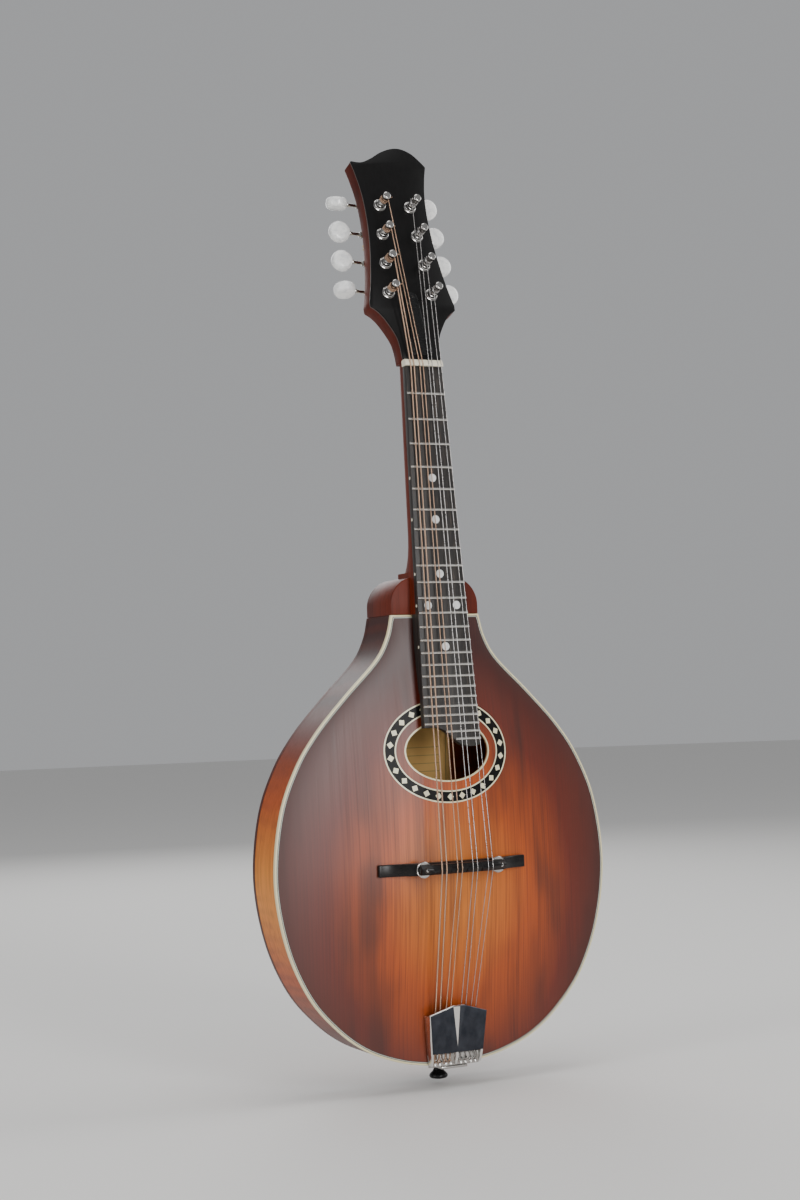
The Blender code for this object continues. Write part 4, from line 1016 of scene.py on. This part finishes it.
NUT_X = [string_x(n, spread(7.2, 1.2), 2.6) for n in range(1, 9)]
BRIDGE_X = [string_x(n, spread(11.8, 1.1), 3.5) for n in range(1, 9)]
TAIL_X = [string_x(n, (-14.6, -6.4, 5.0, 12.6), 3.5) for n in range(1, 9)]
nut_half = NUT_WIDTH / 2 + 0.35
nut_crest = -1.55
nut_top = [(-nut_half, nut_crest)]
for x, radius in zip(NUT_X, GAUGES):
    lip, floor, notch = radius + 0.12, radius * 0.6, nut_crest + 0.75
    nut_top += [(x - lip, nut_crest), (x - floor, notch), (x + floor, notch), (x + lip, nut_crest)]
nut_top += [(nut_half, nut_crest)]
nut_section = [*nut_top, (nut_half, BOARD_THICK), (-nut_half, BOARD_THICK)]
nut_layers = [
    [(x, y + eased if y < 0 else y, z) for x, y in nut_section]
    for z, eased in ((0.1, 0.25), (0.5, 0.0), (1.6, 0.0), (4.1, 0.9), (4.8, 1.5))
]
piece("nut_bone", lofted(nut_layers, NECK), "bone_nut", nodes=["nut"], sharp=40)


# ---------------------------------------------------------------- bridge
def base_front(x, _):
    """The base's surface: level between the studs, and swept down to its tips."""
    level_half = STUD_PLACE + 4.5
    if abs(x) <= level_half:
        return -BASE_FRONT
    share = (abs(x) - level_half) / (BRIDGE_HALF - level_half)
    tip = top_face(BRIDGE_HALF, BRIDGE_Z) - 3.6
    return -BASE_FRONT + (tip + BASE_FRONT) * (1 - (1 - share) ** 2.2)


foot_low, foot_high = BRIDGE_Z - BRIDGE_WIDTH / 2, BRIDGE_Z + BRIDGE_WIDTH / 2
piece("bridge_foot", slab(
    [(-BRIDGE_HALF, foot_low), (BRIDGE_HALF, foot_low), (BRIDGE_HALF, foot_high),
     (-BRIDGE_HALF, foot_high)],
    base_front, top_raised(0.1), cuts_x=[BRIDGE_HALF * k / 28 for k in range(-27, 28)],
), "ebony_bridge", nodes=["bridge_base"], bevel=(0.7, 3), sharp=40)
saddle_front = STRING_BRIDGE - 0.1 - GAUGES[0]


SADDLE_BACK = -26.5


def saddle_section(x, crest):
    """The saddle's section in y and z: upright sides and two slopes up to a narrow crest."""
    top = -saddle_front + 1.6 * max(0.0, (abs(x) - 25.0) / 7.0)
    middle, half = BRIDGE_Z + crest, SADDLE_WIDTH / 2
    return [(x, y, z) for y, z in (
        (SADDLE_BACK, BRIDGE_Z - half), (top + 2.6, BRIDGE_Z - half), (top + 0.1, middle - 0.75),
        (top, middle - 0.35), (top, middle + 0.35), (top + 0.1, middle + 0.75),
        (top + 2.6, BRIDGE_Z + half), (SADDLE_BACK, BRIDGE_Z + half),
    )]


crest_places = [(-32.1, 0.2), (-24.6, 0.2), (-23.4, -1.5), (-11.1, 0.9), (-10.5, -1.4), (1.0, 0.8),
                (1.6, -1.3), (12.6, 0.9), (13.2, -1.2), (24.6, 0.2), (32.1, 0.2)]
piece("saddle_top", lofted([saddle_section(x, crest) for x, crest in crest_places]), "ebony_bridge",
      body="saddle", nodes=["bridge_saddle"], bevel=(0.3, 2), sharp=25)
for side, word in ((-1, "bass"), (1, "treble")):
    stand = shift((side * STUD_PLACE, 0, BRIDGE_Z)) @ FORWARDS
    knurl = [
        (radius * cos(angle), radius * sin(angle)) for radius, angle in (
            (WHEEL_RADIUS - KNURL_DEPTH * (k % 2), pi * k / KNURLS) for k in range(2 * KNURLS)
        )
    ]
    wheel = lofted([
        [(x * share, y * share, z) for x, y in knurl]
        for share, z in ((0.93, 24.1), (1.0, 24.45), (1.0, 25.75), (0.93, 26.1))
    ], stand)
    piece(f"wheel_{word}", wheel, "nickel", body=f"wheel_{word}", nodes=[f"thumbwheel_{word}"],
          sharp=30)
    thread = [(1.32, 18.2)]
    for k in range(12):
        thread += [(1.6, 18.45 + 0.5 * k), (1.35, 18.7 + 0.5 * k)]
    piece(f"stud_{word}", turned([
        (0, 31.7), (0.9, 31.65), (1.3, 31.35), (1.3, 30.2), *reversed(thread[:-1]), (1.4, 17.6),
        (0, 17.6),
    ], stand, 28), "nickel", nodes=[f"bridge_stud_{word}"], sharp=30)
    piece(f"stud_hole_{word}", disc(2.3, 31.3, 30.9, stand, 28), "hole_shadow", body="saddle")


# ---------------------------------------------------------------- tailpiece and end pin
def tail_half(z):
    share = (TAIL_TOP - z) / (TAIL_TOP - TAIL_BOTTOM)
    return TAIL_HALF_TOP + (TAIL_HALF_BOTTOM - TAIL_HALF_TOP) * share


def cover_share(z):
    return min(max((TAIL_TOP - z) / (TAIL_TOP - TAIL_BOTTOM), -0.2), 1)


def cover_plain(z):
    return -TAIL_FRONT_TOP + (TAIL_FRONT_TOP - TAIL_FRONT_BOTTOM) * cover_share(z)


def cover_front(x, z):
    """The cover's surface: two flat slopes with a tapering ridge between them."""
    share = cover_share(z)
    ridge = max(0, 1 - abs(x) / max(PEAK_HALF * (1 - share * 1.35), 0.4)) * max(0, 1 - share * 1.3)
    return cover_plain(z) - 1.9 * ridge


def tail_rib(x_top, x_bottom, z_top, half=0.85):
    return slab(
        [(x_bottom - half, TAIL_BOTTOM), (x_bottom + half, TAIL_BOTTOM), (x_top + half, z_top),
         (x_top - half, z_top)],
        lambda x, z: cover_plain(z) + 0.35 + 1.6 * max(0, (COVER_LOW - z) / 8.5) ** 2,
        top_raised(0.4), cuts_z=[TAIL_BOTTOM + 1.4 * k for k in range(1, 8)],
    )


cover_half, peak = tail_half(COVER_LOW), TAIL_TOP + TAIL_PEAK
cover_outline = [
    (-TAIL_HALF_TOP, TAIL_TOP), (-PEAK_HALF, peak), (PEAK_HALF, peak), (TAIL_HALF_TOP, TAIL_TOP),
    (cover_half, COVER_LOW), (-cover_half, COVER_LOW),
]
# The cover's darkened nickel is a painted dark reflection.
piece("tail_cover", slab(
    cover_outline, cover_front, lambda x, z: cover_plain(z) + 2.0,
    cuts_x=[0.5 * k for k in range(-10, 11)], cuts_z=[TAIL_TOP + 4 - 1.25 * k for k in range(24)],
), "nickel_cover_painted_dark", nodes=["tailpiece"], bevel=(0.55, 3), sharp=32)
rib_top, rib_bottom = TAIL_HALF_TOP - 0.9, TAIL_HALF_BOTTOM - 0.9
# The ribs are finished in the lightened nickel, a painted highlight along each rib.
piece("tail_ribs", [
    tail_rib(-rib_top, -rib_bottom, TAIL_TOP - 0.8), tail_rib(0, 0, TAIL_TOP - 12),
    tail_rib(rib_top, rib_bottom, TAIL_TOP - 0.8),
], "nickel_painted_highlight", bevel=(0.35, 3))
floor_end, flange_end = TAIL_BOTTOM - 1.4, TAIL_BOTTOM - 3.2
piece("tail_floor", [
    slab([(-TAIL_HALF_BOTTOM, floor_end), (TAIL_HALF_BOTTOM, floor_end), (cover_half, COVER_LOW - 1),
          (-cover_half, COVER_LOW - 1)], top_raised(1.6), top_raised(0.1)),
    block((-10, -2.3, flange_end), (10, 12, floor_end)),
], "nickel", bevel=(0.4, 3))
# A bright wire along the cover's bass edge and over its peak: a painted highlight.
highlight_places = [(0.25 - tail_half(z), 0.3, z) for z in (COVER_LOW - 0.5, -470, -462, TAIL_TOP + 0.1)]
piece("tail_edge_painted_highlight", wire([
    *((x, cover_plain(z) + lift, z) for x, lift, z in highlight_places),
    (-4.8, cover_plain(peak) + 0.3, peak - 0.3), (4.4, cover_plain(peak) + 0.25, peak - 0.3),
], 0.62), "nickel_painted_highlight")
# A thin bright sheet on the bass face of the cover's ridge only: a painted highlight.
piece("tail_ridge_painted_highlight", slab(
    [(-4.3, peak - 0.4), (-0.1, peak - 0.4), (-0.1, -474.5)],
    lambda x, z: cover_front(x, z) - 0.04, lambda x, z: cover_front(x, z) + 0.3,
    cuts_x=[-0.5 * k for k in range(1, 9)], cuts_z=[-447 - 1.25 * k for k in range(22)],
), "nickel_painted_highlight")
HOOK_Z = TAIL_BOTTOM + 3.0
HOOK = ((-1.3, 0.7), (-3.6, 0.7), (-5.0, 0.9), (-5.9, 1.9), (-6.0, 2.9))
# The hooks are in the same lightened nickel, a painted highlight.
piece("tail_hooks", [
    wire(spline([(x, y, HOOK_Z - drop) for y, drop in HOOK], 4), 0.75, 12) for x in TAIL_X
], "nickel_painted_highlight")
PIN_PROFILE = [
    (0, 13.0), (3.6, 12.9), (5.4, 12.5), (6.3, 11.8), (6.6, 10.8), (6.3, 9.8), (5.2, 8.7), (4.0, 7.4),
    (3.35, 6.0), (3.3, 4.6), (3.9, 3.4), (5.0, 2.3), (5.5, 1.5), (5.5, 0.4), (0, 0.4),
]
pin_at = shift((0, PIN_PLACE, BODY_BOTTOM)) @ about("X", pi)
piece("strap_pin", turned(PIN_PROFILE, pin_at, 40), "black_plastic", nodes=["end_pin"])
screws(("flange_screws", "flange_screw_slots"), [
    shift((x, 8.2, flange_end)) @ about("X", pi) for x in (-6.5, 6.5)
], "screw_steel", 1.7, 0.7)


# ---------------------------------------------------------------- tuning machines
def tuner_number(side, k):
    return k + 1 if side < 0 else 2 * POSTS - k


POST_BACK = -21.4
STRING_HOLE = 9.2
POST_WAIST = 2.2
POST_PROFILE = [
    (0, 15.5), (2.1, 15.5), (2.6, 15.3), (2.95, 14.8), (3.0, 14.3), (3.0, 13.0), (2.8, 12.6),
    (2.35, 12.1), (POST_WAIST, 11.4), (POST_WAIST, 7.0), (2.35, 6.3), (2.75, 5.7), (3.0, 5.1),
    (3.0, -21.2), (2.7, POST_BACK), (0, POST_BACK),
]
WASHER = [
    (3.05, 0.0), (4.7, 0.0), (4.8, 0.4), (4.6, 0.8), (4.15, 0.95), (4.1, 1.5), (3.9, 1.8), (3.6, 2.0),
    (3.5, 3.2), (3.3, 3.7), (3.05, 3.8),
]


STEM = [
    (0, 19.0), (1.5, 19.0), (1.9, 18.0), (2.2, 17.5), (2.2, 17.0), (1.9, 16.6), (1.45, 15.8),
    (1.36, 13.4), (1.36, 9.2), (2.3, 8.9), (2.3, 8.1), (0, 8.1),
]
BUTTON_FACE = [
    (0, 4.0), (3.4, 3.97), (5.4, 3.82), (6.5, 3.5), (7.1, 3.05), (7.5, 2.4), (7.72, 1.5), (7.8, 0.5),
]
BUTTON = BUTTON_FACE + [(radius, -z) for radius, z in reversed(BUTTON_FACE)]
TOOTH = ((6.35, 0.0), (6.8, 0.25), (7.2, 0.4), (7.25, 0.6), (6.8, 0.75))


def gear(matrix):
    """The post's gear, with a gap facing the worm."""
    twist = GEAR_THICK * tan(atan(WORM_PITCH / (2 * pi * WORM_RADIUS))) / GEAR_RADIUS
    pitch = 2 * pi / GEAR_TEETH
    layers = []
    for layer in (-0.5, -0.2, 0.2, 0.5):
        flanks = [
            (radius, pi / 2 + pitch * k + twist * layer + pitch * share)
            for k in range(GEAR_TEETH) for radius, share in TOOTH
        ]
        layers.append([(r * cos(a), r * sin(a), -WORM_DEPTH + GEAR_THICK * layer) for r, a in flanks])
    return lofted(layers, matrix)


for side in (-1, 1):
    for k in range(POSTS):
        number = tuner_number(side, k)
        station = TUNER[side] @ shift((0, 0, k * POST_PITCH))
        stand = station @ FORWARDS
        piece(f"peg_{number}", turned(POST_PROFILE, stand, 36), "nickel",
              body=f"post_{number}", nodes=[f"string_post_{number}"])
        piece(f"gear_{number}", gear(stand), "gear_brass", body=f"post_{number}",
              sharp=30)
        post_end = stand @ shift((0, 0, POST_BACK)) @ about("X", pi)
        piece(f"gear_screw_{number}", screw(post_end, 2.1, 0.6), "screw_steel", body=f"post_{number}")
        through = stand @ shift((0, 0, STRING_HOLE)) @ about("Y", pi / 2)
        piece(f"peg_hole_{number}", disc(0.75, 2.23, -2.23, through, 16), "hole_shadow",
              body=f"post_{number}")
        piece(f"post_washer_{number}", turned(WASHER, stand, 40, ring=True), "nickel")
        axis = station @ shift((0, WORM_DEPTH, WORM_OFFSET)) @ OUTWARDS[side]
        refinish(f"worm_shaft_{number}", "nickel")
        piece(f"stem_{number}", turned(STEM, axis, 28), "nickel", body=f"tuner_{number}")
        facing = axis @ shift((0, 0, BUTTON_REACH)) @ about("Z", radians(BUTTON_TURNS[side][k]))
        facing = facing @ about("X", pi / 2) @ about("Z", pi / 2)
        piece(f"knob_{number}", turned(BUTTON, facing, 48), "pearl_button", body=f"tuner_{number}",
              nodes=[f"tuner_button_{number}"])

PLATE_WAIST = PLATE_HALF - 2.2
EAR_RADIUS = 2.9
ear_arc = [(EAR_RADIUS * sin(a), -EAR_RADIUS * cos(a)) for a in (pi * i / 14 for i in range(15))]
for side, word in ((-1, "bass"), (1, "treble")):
    low, high = -PLATE_HALF, (POSTS - 1) * POST_PITCH + WORM_OFFSET + 5
    stations = [k * POST_PITCH for k in range(POSTS)]
    edge = [(PLATE_HALF - 2.0, low), (PLATE_HALF, low + 2.0)]
    for post in stations:
        if post:
            edge += [(PLATE_WAIST, post - 6.4), (PLATE_HALF, post - 5.0)]
        edge += [(PLATE_HALF, post + WORM_OFFSET + 4.2)]
        if post != stations[-1]:
            edge += [(PLATE_WAIST, post + WORM_OFFSET + 5.6)]
    edge += [(PLATE_HALF - 2.0, high)]
    outline = edge + [(-x, z) for x, z in reversed(edge)]
    plates = [slab(outline, PLATE_FRONT, PLATE_FRONT + PLATE_THICK, TUNER[side])]
    screw_drops = []
    for post in stations:
        worm, foot = post + WORM_OFFSET, PLATE_FRONT + 0.6
        arc = [(WORM_DEPTH + y, worm + z) for y, z in ear_arc]
        ear = [(foot, worm - 3.1), *arc, (foot, worm + 3.1)]
        plates += [bar(ear, near, far, TUNER[side]) for near, far in ((-7.6, -6.0), (6.0, 7.6))]
        if post:
            screw_drops.append(post - 9.6)
    screw_drops += [low + 2.6, high - 2.4]
    piece(f"machine_plate_{word}", plates, "nickel", nodes=[f"tuner_plate_{word}"],
          bevel=(0.18, 2), sharp=40)
    screws((f"plate_screws_{word}", f"plate_screw_slots_{word}"), [
        TUNER[side] @ shift((0, PLATE_FRONT + PLATE_THICK, z)) @ about("X", -pi / 2) for z in screw_drops
    ], "screw_steel", 1.8, 0.8)


# ---------------------------------------------------------------- strings
def coil(centre, radius, over, turns, count, climb=Vector()):
    """Points round a circle over x and another direction, or along a coil that climbs."""
    found = []
    for k in range(count + 1):
        angle = 2 * pi * turns * k / count
        found.append(centre + radius * (ACROSS * cos(angle) + over * sin(angle)) + climb * (k / count))
    return found


ACROSS, BACKWARDS, UPWARDS = Vector((1, 0, 0)), Vector((0, 1, 0)), Vector((0, 0, 1))
WINDING_START = -10.9
TURN_STEPS = 28


for number, radius in enumerate(GAUGES, 1):
    side = -1 if number <= POSTS else 1
    k = number - 1 if side < 0 else 2 * POSTS - number
    tail_x, bridge_x, nut_x = TAIL_X[number - 1], BRIDGE_X[number - 1], NUT_X[number - 1]
    wound = number <= WOUND
    finish = "bronze_winding" if wound else "plain_steel"
    under = 2.3 + radius
    edge = TAIL_TOP + TAIL_PEAK * min((TAIL_HALF_TOP - abs(tail_x)) / (TAIL_HALF_TOP - PEAK_HALF), 1)
    hook = Vector((tail_x, -4.4, HOOK_Z + 0.3 + radius))
    low = Vector((tail_x, cover_plain(COVER_LOW) + under, COVER_LOW - 0.5))
    high = Vector((tail_x, cover_plain(edge) + under, edge + 0.5))
    bridge = Vector((bridge_x, -STRING_BRIDGE, BRIDGE_Z - 0.9))
    nut_at = NECK @ Vector((nut_x, -1.35 - radius, 0.6))
    station = TUNER[side] @ shift((0, 0, k * POST_PITCH))
    wrap, step = POST_WAIST + 0.1 + radius, 2 * radius + 0.12
    start = station @ Vector((-side * wrap, WINDING_START, 0))
    lean = atan2(side * (start.x - nut_x), start.z - nut_at.z)
    winding = []
    for i in range(int((3.5 if wound else 4.5) * TURN_STEPS) + 1):
        turn = 2 * pi * i / TURN_STEPS
        level = WINDING_START + 0.6 + step * turn / (2 * pi)
        x, z = -side * wrap * cos(lean + turn), wrap * sin(lean + turn)
        winding.append(station @ Vector((x, level, z)))
    middle = station @ Vector((0, -STRING_HOLE, 0))
    loose_end = spline([winding[-1], middle, middle + (middle - winding[-1]) * 1.9], 3)[1:]
    tail = piece(f"string_{number}_tail", wire([hook, low, high, bridge], radius, 12), finish, None)
    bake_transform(tail)
    run = piece(f"string_{number}_run", wire([bridge, nut_at, winding[0]], radius, 12), finish, None,
                [f"string_{number}"])
    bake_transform(run)
    piece(f"string_{number}_winding", wire([*winding, *loose_end], radius, 8), finish,
          body=f"post_{number}")
    # The loop round the hook, and the turns that hold it.
    along = (low - hook).normalized()
    loop = coil(hook + Vector((0, 0.3, -1.5)), 1.25, UPWARDS, 1, 24)
    twist = coil(hook + along * 0.3, radius + 0.2, BACKWARDS, 11, 110, along * 9.5)
    piece(f"string_{number}_eye", [wire(loop, 0.3, 8), wire(twist, 0.22, 6)],
          "bronze_winding" if wound else "nickel")


# ---------------------------------------------------------------- scene
def make_stage():
    bm = bmesh.new()
    bmesh.ops.create_circle(bm, cap_ends=True, segments=96, radius=9.0)
    bmesh.ops.translate(bm, vec=(0, 0, -0.504), verts=bm.verts)
    mesh = bpy.data.meshes.new("floor")
    bm.to_mesh(mesh)
    bm.free()
    paint = Finish("floor_paint", (0.78, 0.77, 0.75), 0.8)
    paint.feed("Roughness", 0.75 + paint.noise(3) * 0.1)
    mesh.materials.append(paint.material)
    add("floor", mesh)


def add_light(name, place, size, watts):
    """A soft panel that faces the middle of the mandolin."""
    light = bpy.data.lights.new(name, "AREA")
    light.shape = "RECTANGLE"
    light.size, light.size_y = size
    light.energy = watts
    obj = add(name, light)
    obj.location = place
    obj.rotation_euler = (Vector((0, 0, -0.20)) - Vector(place)).to_track_quat("-Z", "Y").to_euler()


make_stage()
world = bpy.context.scene.world or bpy.data.worlds.new("studio")
bpy.context.scene.world = world
world.use_nodes = True
sky = world.node_tree.nodes["Background"]
sky.inputs["Color"].default_value = (0.90, 0.91, 0.93, 1)
sky.inputs["Strength"].default_value = 0.42
add_light("front_soft", (0.22, -2.2, 0.1), (0.55, 1.7), 36)
add_light("right_soft", (1.7, -0.3, 0.6), (0.7, 1.4), 12)
add_light("left_soft", (-1.9, -0.5, 0.1), (0.5, 1.6), 16)
add_light("back_soft", (0.4, 1.9, 0.8), (1.2, 1.2), 14)
add_light("top_soft", (0, -0.2, 2.0), (1.4, 1.4), 14)

camera = bpy.data.cameras.new("camera")
camera.lens = 58.85
camera.sensor_width = 36
camera.sensor_fit = "AUTO"
camera_object = add("camera", camera)
camera_object.matrix_world = Matrix((
    (0.90728, 0.01310, -0.42031, -0.6002), (-0.41872, -0.06404, -0.90585, -1.2360),
    (-0.03878, 0.99786, -0.05262, -0.2372), (0, 0, 0, 1),
))
bpy.context.scene.camera = camera_object
